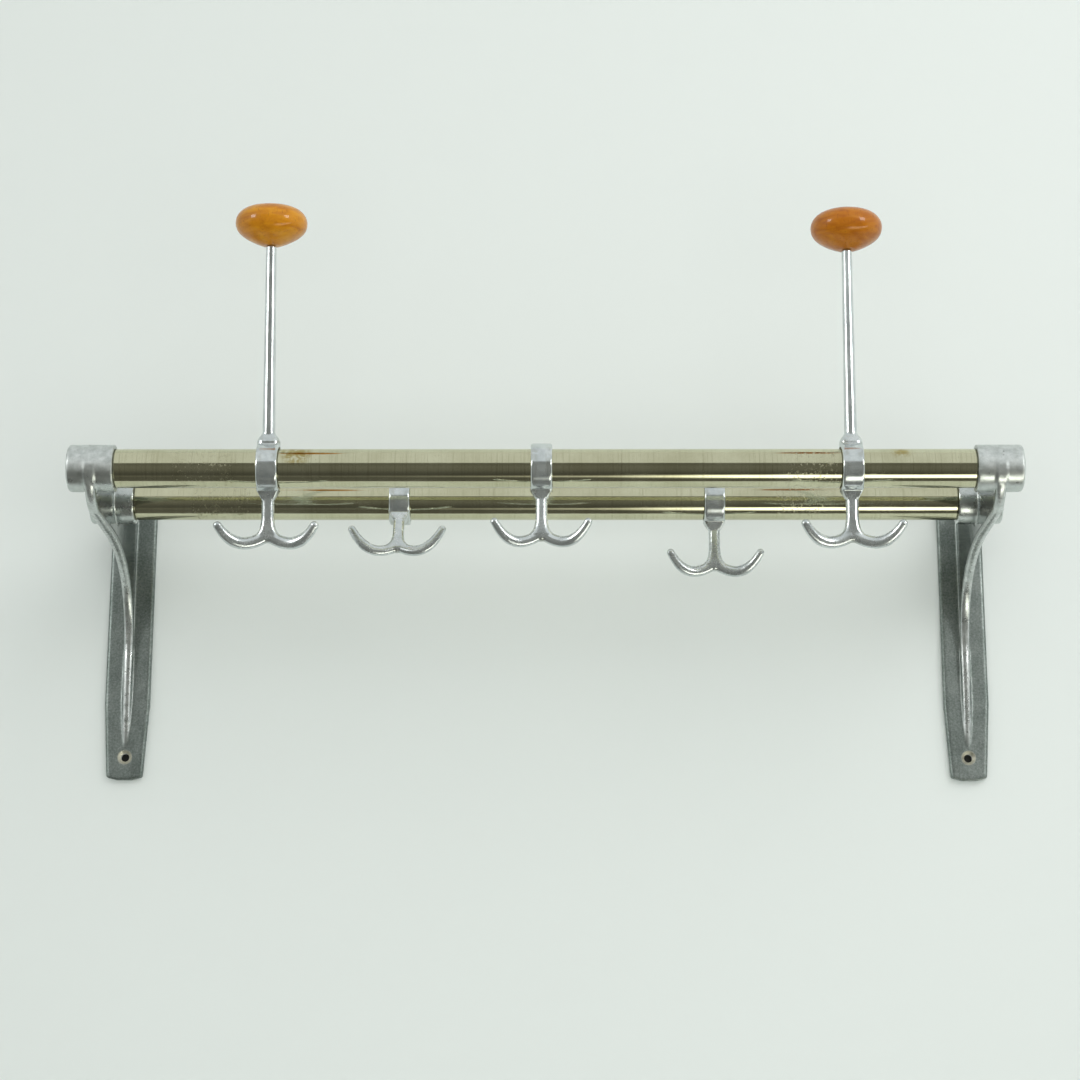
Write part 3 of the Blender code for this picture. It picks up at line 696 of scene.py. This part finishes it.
def bead():
    """The broad rounded rib along the web's lower edge. It dies into the foot."""
    points, pulls = web_line()
    sunk = BEAD_RADIUS - BEAD_PROUD
    inward = [Vector((0.0, *step)) * sunk for step in BEAD_INWARD]
    pulls = [(left + step, right + step) for (left, right), step in zip(pulls, inward)]
    points = [point + step for point, step in zip(points, inward)]
    radii = [BEAD_RADIUS] * (len(points) - 1) + [BEAD_END_SHARE * BEAD_RADIUS]
    made = rod("bead", points, radii, pulls)
    made.scale.x = BEAD_HALF_WIDTH / BEAD_RADIUS
    return settle(made)


def bead_root():
    """Where the rib climbs the front socket: half a disc, set low so that its upper end dies into it."""
    place = Vector((0.0, -FRONT_REACH - BEAD_ROOT_FORWARD, TUBE_HEIGHT - BEAD_ROOT_DROP))
    made = cylinder("bead_root", SOCKET_RADIUS, BEAD_ROOT_WIDTH, place, ALONG_X, ROUND_SIDES)
    choose_faces(made, lambda face: True)
    bpy.ops.mesh.bisect(plane_co=place, plane_no=(0.0, 1.0, 0.0), use_fill=True, clear_outer=True)
    close_edit()
    return made


def socket(reach):
    """A tube socket with a rounded, closed outer end on the +X side."""
    made = cylinder("socket", SOCKET_RADIUS, 2.0 * SOCKET_HALF_LENGTH, (0.0, -reach, TUBE_HEIGHT),
                    ALONG_X, ROUND_SIDES)
    choose_edges(made, lambda a, b: min(a.x, b.x) > SOCKET_HALF_LENGTH - MM)
    bpy.ops.mesh.bevel(offset=SOCKET_ROUNDING, segments=CORNER_STEPS)
    close_edit()
    return made


def bracket_cutters():
    """Every hole of the bracket: tube bores, set-screw holes and countersunk wall-screw holes."""
    depth = 2.0 * SOCKET_HALF_LENGTH - SOCKET_END_WALL
    sink = COUNTERSINK_RADIUS - SCREW_HOLE_RADIUS
    cutters = []
    for reach in (FRONT_REACH, REAR_REACH):
        middle = -SOCKET_HALF_LENGTH + (depth - OVERCUT) / 2.0
        cutters.append(cylinder("bore", SOCKET_BORE, depth + OVERCUT, (middle, -reach, TUBE_HEIGHT),
                                ALONG_X, ROUND_SIDES))
        from_middle = -SOCKET_HALF_LENGTH + SET_SCREW_FROM_MOUTH
        cutters.append(cylinder("set_hole", SET_SCREW_HOLE, SET_HOLE_DEPTH,
                                (from_middle, -reach, TUBE_HEIGHT + SOCKET_RADIUS + OVERCUT),
                                (0.0, 0.0, 0.0), SET_HOLE_SIDES))
    for height in (0.0, UPPER_HOLE_HEIGHT):
        cutters.append(cylinder("screw_hole", SCREW_HOLE_RADIUS, 3.0 * PLATE_THICKNESS, (0.0, 0.0, height),
                                ALONG_Y, SMALL_SIDES))
        bpy.ops.object.select_all(action="DESELECT")
        bpy.ops.mesh.primitive_cone_add(vertices=SMALL_SIDES, radius1=SCREW_HOLE_RADIUS - OVERCUT,
                                        radius2=COUNTERSINK_RADIUS + OVERCUT, depth=sink + 2.0 * OVERCUT,
                                        location=(0.0, -PLATE_THICKNESS + sink / 2.0, height),
                                        rotation=ALONG_Y)
        cutters.append(settle(named("countersink")))
    return cutters


def bracket_casting():
    """The right-hand bracket about its own middle: shapes fused into one skin, then bored and drilled."""
    piece = join(wall_plate(), web(), bead(), bead_root(), socket(FRONT_REACH), socket(REAR_REACH))
    piece.name = "bracket"
    recalculate(piece)
    soften(piece, BRACKET_GRAIN, BRACKET_SMOOTHING)
    for cutter in bracket_cutters():
        cut(piece, cutter)
    mark(piece, "socket", on_socket)
    # Polished parts; the web's sides also get painted shade from this share
    mark(piece, "polish_and_web_shade", polish_and_web_shade_share)
    # The countersink rims, which get a painted highlight
    mark(piece, "sink", countersink_highlight)
    return smooth_shading(piece)


def on_socket(place, _):
    """The outside of either tube socket."""
    off_axis = min(Vector((place.y + reach, place.z - TUBE_HEIGHT)).length
                   for reach in (FRONT_REACH, REAR_REACH))
    return fade(off_axis, SOCKET_RADIUS, SOCKET_RADIUS + MM)


def polish_and_web_shade_share(place, facing):
    """The web's flat sides, the rear socket and, less, the underside of the front one were polished; the
    web's sides also get a dark painted shade in their colour.
    """
    socket_share = on_socket(place, facing)
    rear = fade(-place.y, REAR_REACH + SOCKET_RADIUS, REAR_REACH + SOCKET_RADIUS + 8.0 * MM)
    under = fade(facing.z, -0.45, -0.15)
    off_plate = fade(place.y, -PLATE_THICKNESS - 3.0 * MM, -PLATE_THICKNESS)
    side = fade(-abs(facing.x), -SQUARELY, -0.7) * off_plate
    socket_polish = max(REAR_SOCKET_POLISH * rear, UNDERSIDE_POLISH * under)
    return max(socket_share * socket_polish, (1.0 - socket_share) * side)


def countersink_highlight(place, _):
    """The rim of each wall-screw hole, on the plate's front, which gets a pale painted highlight."""
    off_hole = min(Vector((place.x, place.z - height)).length for height in (0.0, UPPER_HOLE_HEIGHT))
    rim = fade(off_hole, COUNTERSINK_RADIUS - 0.2 * MM, COUNTERSINK_RADIUS + 0.3 * MM)
    return rim * fade(place.y, -2.0 * MM, -MM)


def place_bracket(model, name, side):
    """Copies the bracket to one end of the tubes. The left one is the mirror image."""
    piece = copied(model, name + "_casting")
    piece.scale.x = side
    piece.location = (side * BRACKET_X, 0.0, 0.0)
    settle(piece)
    recalculate(piece)
    smooth_shading(piece)
    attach(piece, "rack")
    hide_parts(name)
    piece.data.materials.append(sand_casting)
    return piece


# Finishes

class Finish:
    """A material under construction, with short names for its nodes."""

    def __init__(self, name, roughness, metallic):
        self.material = bpy.data.materials.new(name)
        self.material.use_nodes = True
        self.nodes = self.material.node_tree.nodes
        self.links = self.material.node_tree.links
        self.shader = self.nodes["Principled BSDF"]
        self.shader.inputs["Roughness"].default_value = roughness
        self.shader.inputs["Metallic"].default_value = metallic
        self.place = self.nodes.new("ShaderNodeTexCoord").outputs["Object"]

    def feed(self, socket, value):
        if hasattr(value, "is_output"):
            self.links.new(value, socket)
        else:
            socket.default_value = (*value, 1.0) if isinstance(value, tuple) else value

    def stretched(self, scale, turn=(0.0, 0.0, 0.0)):
        node = self.nodes.new("ShaderNodeMapping")
        node.inputs["Rotation"].default_value = turn
        node.inputs["Scale"].default_value = scale
        self.links.new(self.place, node.inputs["Vector"])
        return node.outputs["Vector"]

    def noise(self, scale, detail=3.0, roughness=0.55, place=None, distortion=0.0):
        node = self.nodes.new("ShaderNodeTexNoise")
        node.inputs["Scale"].default_value = scale
        node.inputs["Detail"].default_value = detail
        node.inputs["Roughness"].default_value = roughness
        node.inputs["Distortion"].default_value = distortion
        self.links.new(place or self.place, node.inputs["Vector"])
        return node.outputs["Fac"]

    def pits(self, scale):
        node = self.nodes.new("ShaderNodeTexVoronoi")
        node.inputs["Scale"].default_value = scale
        self.links.new(self.place, node.inputs["Vector"])
        return node.outputs["Distance"]

    def ramp(self, value, *stops):
        node = self.nodes.new("ShaderNodeValToRGB")
        band = node.color_ramp
        while len(band.elements) < len(stops):
            band.elements.new(0.5)
        for element, (place, colour) in zip(band.elements, stops):
            element.position = place
            shade = (colour, colour, colour) if isinstance(colour, float) else colour
            element.color = (*shade, 1.0)
        self.links.new(value, node.inputs["Fac"])
        return node.outputs["Color"]

    def mix(self, share, first, second, way="MIX"):
        node = self.nodes.new("ShaderNodeMix")
        node.data_type = "RGBA"
        node.blend_type = way
        self.feed(node.inputs[0], share)
        for socket, value in ((node.inputs[6], first), (node.inputs[7], second)):
            self.feed(socket, value)
        return node.outputs[2]

    def sum(self, operation, first, second):
        node = self.nodes.new("ShaderNodeMath")
        node.operation = operation
        self.feed(node.inputs[0], first)
        self.feed(node.inputs[1], second)
        return node.outputs[0]

    def spread(self, value, low, high, to_low, to_high, way="SMOOTHSTEP"):
        node = self.nodes.new("ShaderNodeMapRange")
        node.interpolation_type = way
        for key, number in (("From Min", low), ("From Max", high), ("To Min", to_low), ("To Max", to_high)):
            node.inputs[key].default_value = number
        self.links.new(value, node.inputs["Value"])
        return node.outputs["Result"]

    def between(self, value, rise, top, fall, end):
        """1 in a span, with soft ends."""
        rising = self.spread(value, rise, top, 0.0, 1.0)
        falling = self.spread(value, fall, end, 1.0, 0.0)
        return self.sum("MULTIPLY", rising, falling)

    def axis(self, letter):
        node = self.nodes.new("ShaderNodeSeparateXYZ")
        self.links.new(self.place, node.inputs["Vector"])
        return node.outputs[letter]

    def marked(self, name):
        """A share that was stored on the piece's points."""
        node = self.nodes.new("ShaderNodeAttribute")
        node.attribute_name = name
        return node.outputs["Fac"]

    def near(self, point, inner, outer):
        """1 close to a point of the piece, falling to 0."""
        node = self.nodes.new("ShaderNodeVectorMath")
        node.operation = "DISTANCE"
        node.inputs[1].default_value = point
        self.links.new(self.place, node.inputs[0])
        return self.spread(node.outputs["Value"], inner, outer, 1.0, 0.0)

    def colour(self, value):
        self.feed(self.shader.inputs["Base Color"], value)

    def rough(self, value):
        self.feed(self.shader.inputs["Roughness"], value)

    def bump(self, height, depth, strength):
        node = self.nodes.new("ShaderNodeBump")
        node.inputs["Strength"].default_value = strength
        node.inputs["Distance"].default_value = depth
        self.links.new(height, node.inputs["Height"])
        self.links.new(node.outputs["Normal"], self.shader.inputs["Normal"])


def nickel_plate():
    """Warm nickel plating: cloudy, wiped round the tube, with tarnish and scuffs where hooks have worn it."""
    f = Finish("worn_nickel", 0.14, 1.0)
    cloud = f.noise(26.0, 5.0, 0.62)
    tone = f.ramp(cloud, (0.3, (0.53, 0.515, 0.345)), (0.7, (0.66, 0.65, 0.465)))
    wiped = f.noise(1.0, 4.0, 0.6, f.stretched((900.0, 14.0, 14.0)))
    tone = f.mix(f.spread(wiped, 0.50, 0.75, 0.0, 0.40), tone, (0.36, 0.335, 0.205))
    along = f.axis("X")
    worn = f.sum("MAXIMUM", f.between(along, -0.270, -0.262, -0.226, -0.216),
                 f.between(along, 0.168, 0.176, 0.204, 0.214))
    scuffs = f.spread(f.noise(1.0, 3.0, 0.7, f.stretched((2600.0, 60.0, 60.0))), 0.55, 0.63, 0.0, 1.0)
    pitting = f.spread(f.noise(420.0, 4.0, 0.7), 0.54, 0.62, 0.0, 1.0)
    scuffed = f.sum("MULTIPLY", worn, f.sum("MAXIMUM", f.sum("MULTIPLY", scuffs, 0.6), pitting))
    tone = f.mix(f.sum("MULTIPLY", scuffed, 0.35), tone, (0.33, 0.315, 0.205))
    spots = f.spread(f.noise(210.0, 3.0, 0.6), 0.36, 0.58, 0.0, 0.85)
    stained = f.sum("MAXIMUM", f.near((-0.1775, -0.198, 0.189), 0.007, 0.014),
                    f.near((0.254, -0.196, 0.190), 0.002, 0.010))
    tone = f.mix(f.sum("MULTIPLY", spots, stained), tone, (0.36, 0.28, 0.08))
    specks = f.spread(f.pits(420.0), 0.05, 0.12, 1.0, 0.0)
    patches = f.spread(f.noise(30.0, 2.0), 0.56, 0.68, 0.0, 1.0)
    tone = f.mix(f.sum("MULTIPLY", specks, patches), tone, (0.20, 0.175, 0.09))
    socket_mouth = BRACKET_X - SOCKET_HALF_LENGTH
    off_middle = f.sum("ABSOLUTE", along, 0.0)
    mouth = f.spread(off_middle, socket_mouth - 1.5 * MM, socket_mouth - 0.1 * MM, 0.0, 0.8)
    f.colour(f.mix(mouth, tone, (0.10, 0.095, 0.06)))
    matt = f.spread(f.sum("ADD", cloud, wiped), 0.7, 1.4, 0.06, 0.17)
    f.rough(f.sum("MAXIMUM", matt, f.sum("MULTIPLY", scuffed, 0.42)))
    f.bump(f.sum("ADD", wiped, f.noise(9.0, 2.0)), 0.05 * MM, 0.25)
    return f.material


def polished_aluminium():
    """Hook castings: ring and stem polished, arms satin, with fine pores and painted shade in the hollows."""
    f = Finish("polished_aluminium", 0.24, 0.84)
    cloud = f.noise(80.0, 5.0, 0.6)
    tone = f.ramp(cloud, (0.32, (0.54, 0.58, 0.58)), (0.66, (0.70, 0.74, 0.735)))
    pores = f.spread(f.pits(520.0), 0.06, 0.15, 1.0, 0.0)
    dirty = f.spread(f.noise(60.0, 3.0), 0.56, 0.68, 0.0, 0.8)
    tone = f.mix(f.sum("MULTIPLY", pores, dirty), tone, (0.13, 0.13, 0.10))
    # Painted shade in the hook's corners and cusp, broken up by noise
    grime_and_shade = f.spread(f.noise(190.0, 3.0, 0.6), 0.42, 0.66, 0.0, 0.5)
    f.colour(f.mix(f.sum("MULTIPLY", f.marked("hollow_shade"), grime_and_shade), tone, (0.24, 0.23, 0.14)))
    polished = f.sum("MAXIMUM", f.marked("ring"), f.sum("MULTIPLY", f.marked("stem"), 0.5))
    fine = f.noise(110.0, 5.0, 0.6)
    f.rough(f.mix(polished, f.spread(fine, 0.3, 0.7, 0.19, 0.31), f.spread(fine, 0.3, 0.7, 0.13, 0.22)))
    coarse = f.sum("SUBTRACT", f.noise(160.0, 4.0), pores)
    f.bump(f.sum("MULTIPLY", coarse, f.spread(polished, 0.0, 1.0, 1.0, 0.3)), 0.07 * MM, 0.35)
    return f.material


def sand_cast_aluminium():
    """Bracket castings: mottled, with a pored rib, polished webs with painted shade, a speckled plate and
    painted highlights on the countersink rims.
    """
    f = Finish("sand_cast_aluminium", 0.4, 0.84)
    mottle = f.noise(210.0, 5.0, 0.65)
    tone = f.ramp(mottle, (0.3, (0.44, 0.475, 0.455)), (0.68, (0.68, 0.71, 0.695)))
    off_middle = f.sum("ABSOLUTE", f.sum("SUBTRACT", f.sum("ABSOLUTE", f.axis("X"), 0.0), BRACKET_X), 0.0)
    pores = f.spread(f.pits(330.0), 0.12, 0.26, 1.0, 0.0)
    porous = f.sum("MULTIPLY", f.spread(f.noise(90.0, 3.0), 0.42, 0.58, 0.0, 0.85),
                   f.spread(off_middle, 1.4 * MM, 2.6 * MM, 1.0, 0.0))
    polish_and_web_shade = f.marked("polish_and_web_shade")
    pored = f.sum("MULTIPLY", f.sum("MULTIPLY", pores, porous), f.spread(polish_and_web_shade, 0.0, 0.5, 1.0, 0.0))
    tone = f.mix(pored, tone, (0.10, 0.105, 0.095))
    # A dark tone on the polished web sides: painted shade for the dim room they mirror
    cloud = f.noise(60.0, 4.0)
    web_shade_tone = f.ramp(cloud, (0.3, (0.20, 0.225, 0.21)), (0.7, (0.27, 0.295, 0.28)))
    socket_tone = f.ramp(cloud, (0.3, (0.50, 0.54, 0.52)), (0.7, (0.62, 0.655, 0.635)))
    tone = f.mix(polish_and_web_shade, tone, f.mix(f.marked("socket"), web_shade_tone, socket_tone))
    speckle = f.mix(0.35, f.noise(620.0, 4.0, 0.7), f.noise(45.0, 3.0))
    plate = f.spread(f.axis("Y"), -6.4 * MM, -4.8 * MM, 0.0, 1.0)
    plate_tone = f.ramp(speckle, (0.36, (0.12, 0.15, 0.135)), (0.62, (0.30, 0.335, 0.315)))
    tone = f.mix(plate, tone, plate_tone)
    # A pale colour on the countersink rims: a painted highlight
    sink = f.marked("sink")
    f.colour(f.mix(f.sum("MULTIPLY", sink, 0.9), tone, (0.76, 0.73, 0.60)))
    fine = f.noise(120.0, 5.0, 0.6)
    rough = f.mix(f.marked("socket"), f.spread(fine, 0.3, 0.7, 0.22, 0.38),
                  f.spread(fine, 0.3, 0.7, 0.42, 0.60))
    rough = f.mix(plate, rough, f.spread(fine, 0.3, 0.7, 0.38, 0.52))
    f.rough(f.mix(polish_and_web_shade, rough, f.spread(fine, 0.3, 0.7, 0.10, 0.18)))
    height = f.sum("SUBTRACT", mottle, f.sum("MULTIPLY", pored, 0.8))
    f.bump(f.sum("MULTIPLY", height, f.spread(polish_and_web_shade, 0.0, 1.0, 1.0, 0.1)), 0.18 * MM, 0.6)
    f.feed(f.shader.inputs["Metallic"], f.spread(polish_and_web_shade, 0.0, 1.0, 0.84, 1.0))
    return f.material


def lacquered_wood():
    """Knobs: amber lacquer over turned wood, with faint growth rings and short dark flecks of grain."""
    f = Finish("amber_lacquer", 0.4, 0.0)
    rings = f.noise(1.0, 3.0, 0.55, f.stretched((60.0, 60.0, 190.0), (0.5, 0.3, 0.0)), 0.8)
    tone = f.ramp(rings, (0.28, (0.44, 0.145, 0.002)), (0.5, (0.57, 0.215, 0.003)),
                  (0.74, (0.68, 0.30, 0.008)))
    flecks = f.noise(1.0, 3.0, 0.6, f.stretched((900.0, 900.0, 120.0)))
    tone = f.mix(f.spread(flecks, 0.58, 0.70, 0.0, 0.5), tone, (0.18, 0.045, 0.001))
    redder = f.spread(f.axis("X"), -0.05, 0.05, 0.0, 1.0)
    f.colour(f.mix(redder, tone, f.mix(1.0, tone, (0.80, 0.66, 0.70), "MULTIPLY")))
    f.rough(f.spread(flecks, 0.3, 0.7, 0.34, 0.46))
    f.shader.inputs["Specular IOR Level"].default_value = 0.15
    f.shader.inputs["Coat Weight"].default_value = 0.55
    f.shader.inputs["Coat Roughness"].default_value = 0.05
    f.shader.inputs["Coat IOR"].default_value = 1.42
    f.bump(rings, 0.05 * MM, 0.25)
    return f.material


def spring_brass():
    """The sleeves: dull spring brass, drawn round the ring."""
    f = Finish("spring_brass", 0.4, 1.0)
    drawn = f.noise(1.0, 3.0, 0.6, f.stretched((700.0, 40.0, 40.0)))
    f.colour(f.ramp(drawn, (0.3, (0.36, 0.25, 0.09)), (0.7, (0.58, 0.43, 0.19))))
    f.rough(f.spread(drawn, 0.3, 0.7, 0.3, 0.5))
    return f.material


def dull_steel():
    """The set screws: dull steel with a little brown in the slot."""
    f = Finish("dull_steel", 0.45, 1.0)
    grime_and_shade = f.noise(900.0, 4.0)
    f.colour(f.ramp(grime_and_shade, (0.35, (0.20, 0.17, 0.13)), (0.6, (0.44, 0.44, 0.43))))
    f.rough(f.spread(grime_and_shade, 0.3, 0.7, 0.55, 0.35))
    return f.material


# Studio

def plain_surface(name, colour):
    """A plain matt stage surface."""
    f = Finish(name, 0.9, 0.0)
    f.colour(colour)
    return f


def pale_wall():
    """The wall, with near-black painted shade behind the screw holes.

    A view from behind passes through it, and light reaches the plates' backs.
    """
    f = plain_surface("pale_wall", WALL_COLOUR)
    # Near-black discs behind the plates' screw holes: painted shade inside the holes
    hole_shade = 0.0
    for x in (-BRACKET_X, BRACKET_X):
        for height in (0.0, UPPER_HOLE_HEIGHT):
            hole = f.near((x, WALL_Y, height), SCREW_HOLE_RADIUS, SCREW_HOLE_RADIUS + 0.4 * MM)
            hole_shade = f.sum("MAXIMUM", hole, hole_shade)
    f.colour(f.mix(hole_shade, WALL_COLOUR, (0.015, 0.015, 0.012)))
    clear = f.nodes.new("ShaderNodeBsdfTransparent")
    either = f.nodes.new("ShaderNodeMixShader")
    behind = f.nodes.new("ShaderNodeNewGeometry").outputs["Backfacing"]
    ray_length = f.nodes.new("ShaderNodeLightPath").outputs["Ray Length"]
    touching = f.spread(ray_length, 2.0 * MM, 4.0 * MM, 1.0, 0.0)
    f.links.new(f.sum("MAXIMUM", behind, touching), either.inputs[0])
    f.links.new(f.shader.outputs[0], either.inputs[1])
    f.links.new(clear.outputs[0], either.inputs[2])
    f.links.new(either.outputs[0], f.nodes["Material Output"].inputs["Surface"])
    return f.material


def stage_sheet(name, width, height, place, turn, finish):
    bpy.ops.object.select_all(action="DESELECT")
    bpy.ops.mesh.primitive_plane_add(size=1.0, location=place, rotation=turn)
    sheet = named(name)
    sheet.scale = (width, height, 1.0)
    settle(sheet)
    sheet.data.materials.append(finish)
    return sheet


def lamp(name, power, size, place, aim):
    bpy.ops.object.select_all(action="DESELECT")
    bpy.ops.object.light_add(type="AREA", location=place)
    made = bpy.context.object
    made.name = name
    made.data.energy = power
    made.data.shape = "RECTANGLE"
    made.data.size, made.data.size_y = size
    made.rotation_euler = (Vector(aim) - Vector(place)).to_track_quat("-Z", "Y").to_euler()
    return made


def pale_world():
    """An even pale surround: camera and mirror rays see it white, and it lights the rack softly."""
    world = bpy.data.worlds.new("pale_surround")
    bpy.context.scene.world = world
    world.use_nodes = True
    nodes, links = world.node_tree.nodes, world.node_tree.links
    seen = nodes["Background"]
    seen.inputs["Color"].default_value = (0.755, 0.785, 0.785, 1.0)
    seen.inputs["Strength"].default_value = 1.0
    fill = nodes.new("ShaderNodeBackground")
    fill.inputs["Color"].default_value = (0.97, 1.0, 0.98, 1.0)
    fill.inputs["Strength"].default_value = 0.70
    rays = nodes.new("ShaderNodeLightPath")
    direct = nodes.new("ShaderNodeMath")
    direct.operation = "MAXIMUM"
    links.new(rays.outputs["Is Camera Ray"], direct.inputs[0])
    links.new(rays.outputs["Is Glossy Ray"], direct.inputs[1])
    any_seen = nodes.new("ShaderNodeMath")
    any_seen.operation = "MAXIMUM"
    links.new(direct.outputs[0], any_seen.inputs[0])
    links.new(rays.outputs["Is Transmission Ray"], any_seen.inputs[1])
    either = nodes.new("ShaderNodeMixShader")
    links.new(any_seen.outputs[0], either.inputs[0])
    links.new(fill.outputs[0], either.inputs[1])
    links.new(seen.outputs[0], either.inputs[2])
    links.new(either.outputs[0], nodes["World Output"].inputs["Surface"])


def dark_room():
    """The dim room before the rack, which only the metal sees: an open drum, clear above and behind.

    It is lighter at eye height than lower down. One bright strip near the floor grows to the right.
    """
    bpy.ops.object.select_all(action="DESELECT")
    bpy.ops.mesh.primitive_cylinder_add(vertices=ROOM_SIDES, radius=ROOM_RADIUS, depth=ROOM_WIDTH,
                                        end_fill_type="NOTHING", location=ROOM_CENTRE, rotation=ALONG_X)
    drum = settle(named("dark_room"))
    f = Finish("dim_room", 1.0, 0.0)
    ahead = f.sum("SUBTRACT", ROOM_CENTRE[1], f.axis("Y"))
    above = f.sum("SUBTRACT", f.axis("Z"), ROOM_CENTRE[2])
    degrees = f.sum("MULTIPLY", f.sum("ARCTAN2", above, ahead), 180.0 / math.pi)
    share = f.spread(degrees, -100.0, 20.0, 0.0, 1.0, "LINEAR")
    dim = f.ramp(share, (0.0, 0.13), (0.25, 0.11), (0.417, 0.085), (0.483, 0.10), (0.625, 0.155),
                 (0.775, 0.18), (0.917, 0.145), (1.0, 0.15))
    across = f.axis("X")
    narrow = f.sum("MULTIPLY", f.between(degrees, -70.0, -65.0, -61.0, -56.0),
                   f.spread(across, -0.6, 1.0, 0.05, 1.3))
    broad = f.sum("MULTIPLY", f.between(degrees, -77.0, -69.0, -57.0, -50.0),
                  f.spread(across, 0.1, 0.8, 0.0, 3.0))
    light = f.mix(1.0, dim, f.sum("ADD", narrow, broad), "ADD")
    glow = f.nodes.new("ShaderNodeEmission")
    f.links.new(f.mix(1.0, light, (1.0, 1.0, 0.88), "MULTIPLY"), glow.inputs["Color"])
    clear = f.nodes.new("ShaderNodeBsdfTransparent")
    either = f.nodes.new("ShaderNodeMixShader")
    f.links.new(f.between(degrees, -98.0, -96.0, 16.0, 18.0), either.inputs[0])
    f.links.new(clear.outputs[0], either.inputs[1])
    f.links.new(glow.outputs[0], either.inputs[2])
    f.links.new(either.outputs[0], f.nodes["Material Output"].inputs["Surface"])
    f.nodes.remove(f.shader)
    drum.data.materials.append(f.material)
    for ray in ("camera", "diffuse", "shadow", "transmission", "volume_scatter"):
        setattr(drum, "visible_" + ray, False)


def studio():
    """A pale wall and floor, soft lamps, and two small windows that only show in polish."""
    pale_world()
    wall = stage_sheet("wall", 5.0, 3.2, (0.0, WALL_Y, 0.9), (math.pi / 2.0, 0.0, 0.0), pale_wall())
    wall.visible_shadow = False
    floor_finish = plain_surface("pale_floor", FLOOR_COLOUR).material
    floor = stage_sheet("floor", 5.0, 5.0, (0.0, -1.0, -0.7), (0.0, 0.0, 0.0), floor_finish)
    floor.visible_glossy = False
    dark_room()
    key = lamp("key", 20.5, (2.4, 1.8), (1.3, -1.7, 1.5), RACK_MIDDLE)
    low_fill = lamp("low_fill", 7.0, (1.6, 0.8), (0.2, -1.9, -0.35), (0.0, 0.0, 0.0))
    for soft in (key, low_fill):
        soft.visible_glossy = False
    for name, place in (("window_left", (-1.5, -1.2, 0.58)), ("window_right", (1.37, -1.35, 0.62))):
        window = lamp(name, WINDOW_POWER, WINDOW_SIZE, place, FRONT_TUBE_MIDDLE)
        window.visible_diffuse = False


def camera():
    """Stands low before the rack's middle and looks up at it."""
    bpy.ops.object.select_all(action="DESELECT")
    bpy.ops.object.camera_add(location=CAMERA_PLACE, rotation=[math.radians(angle) for angle in CAMERA_TURN])
    made = bpy.context.object
    made.name = "camera"
    made.data.sensor_width = SENSOR_WIDTH
    made.data.lens = CAMERA_LENS
    bpy.context.scene.camera = made


# Making

nickel = nickel_plate()
polished_casting = polished_aluminium()
sand_casting = sand_cast_aluminium()
amber_lacquer = lacquered_wood()

for tube_name in ("front_tube", "rear_tube"):
    make_tube(tube_name)

coat_hook = hook_casting("coat_hook_model", COAT_HOOK_SPAN, 1.0, False)
hat_hook = hook_casting("hat_hook_model", HAT_HOOK_SPAN, HAT_HOOK_STOUTNESS, True)
for hook_name in HOOK_TILT:
    place_hook(hat_hook if hook_name.startswith("hat") else coat_hook, hook_name)

knob = knob_shape()
for knob_side in ("left", "right"):
    place_knob(knob, knob_side)

bracket = bracket_casting()
place_bracket(bracket, "bracket_left", -1.0)
place_bracket(bracket, "bracket_right", 1.0)

for model in (coat_hook, hat_hook, knob, bracket):
    bpy.data.objects.remove(model, do_unlink=True)

brass_finish = spring_brass()
steel_finish = dull_steel()
for node_name, node in frame["nodes"].items():
    if "sleeve" in node_name:
        node.data.materials.clear()
        node.data.materials.append(brass_finish)
    elif "screw" in node_name:
        node.data.materials.clear()
        node.data.materials.append(steel_finish)

studio()
camera()
bpy.context.scene.view_settings.view_transform = "Standard"
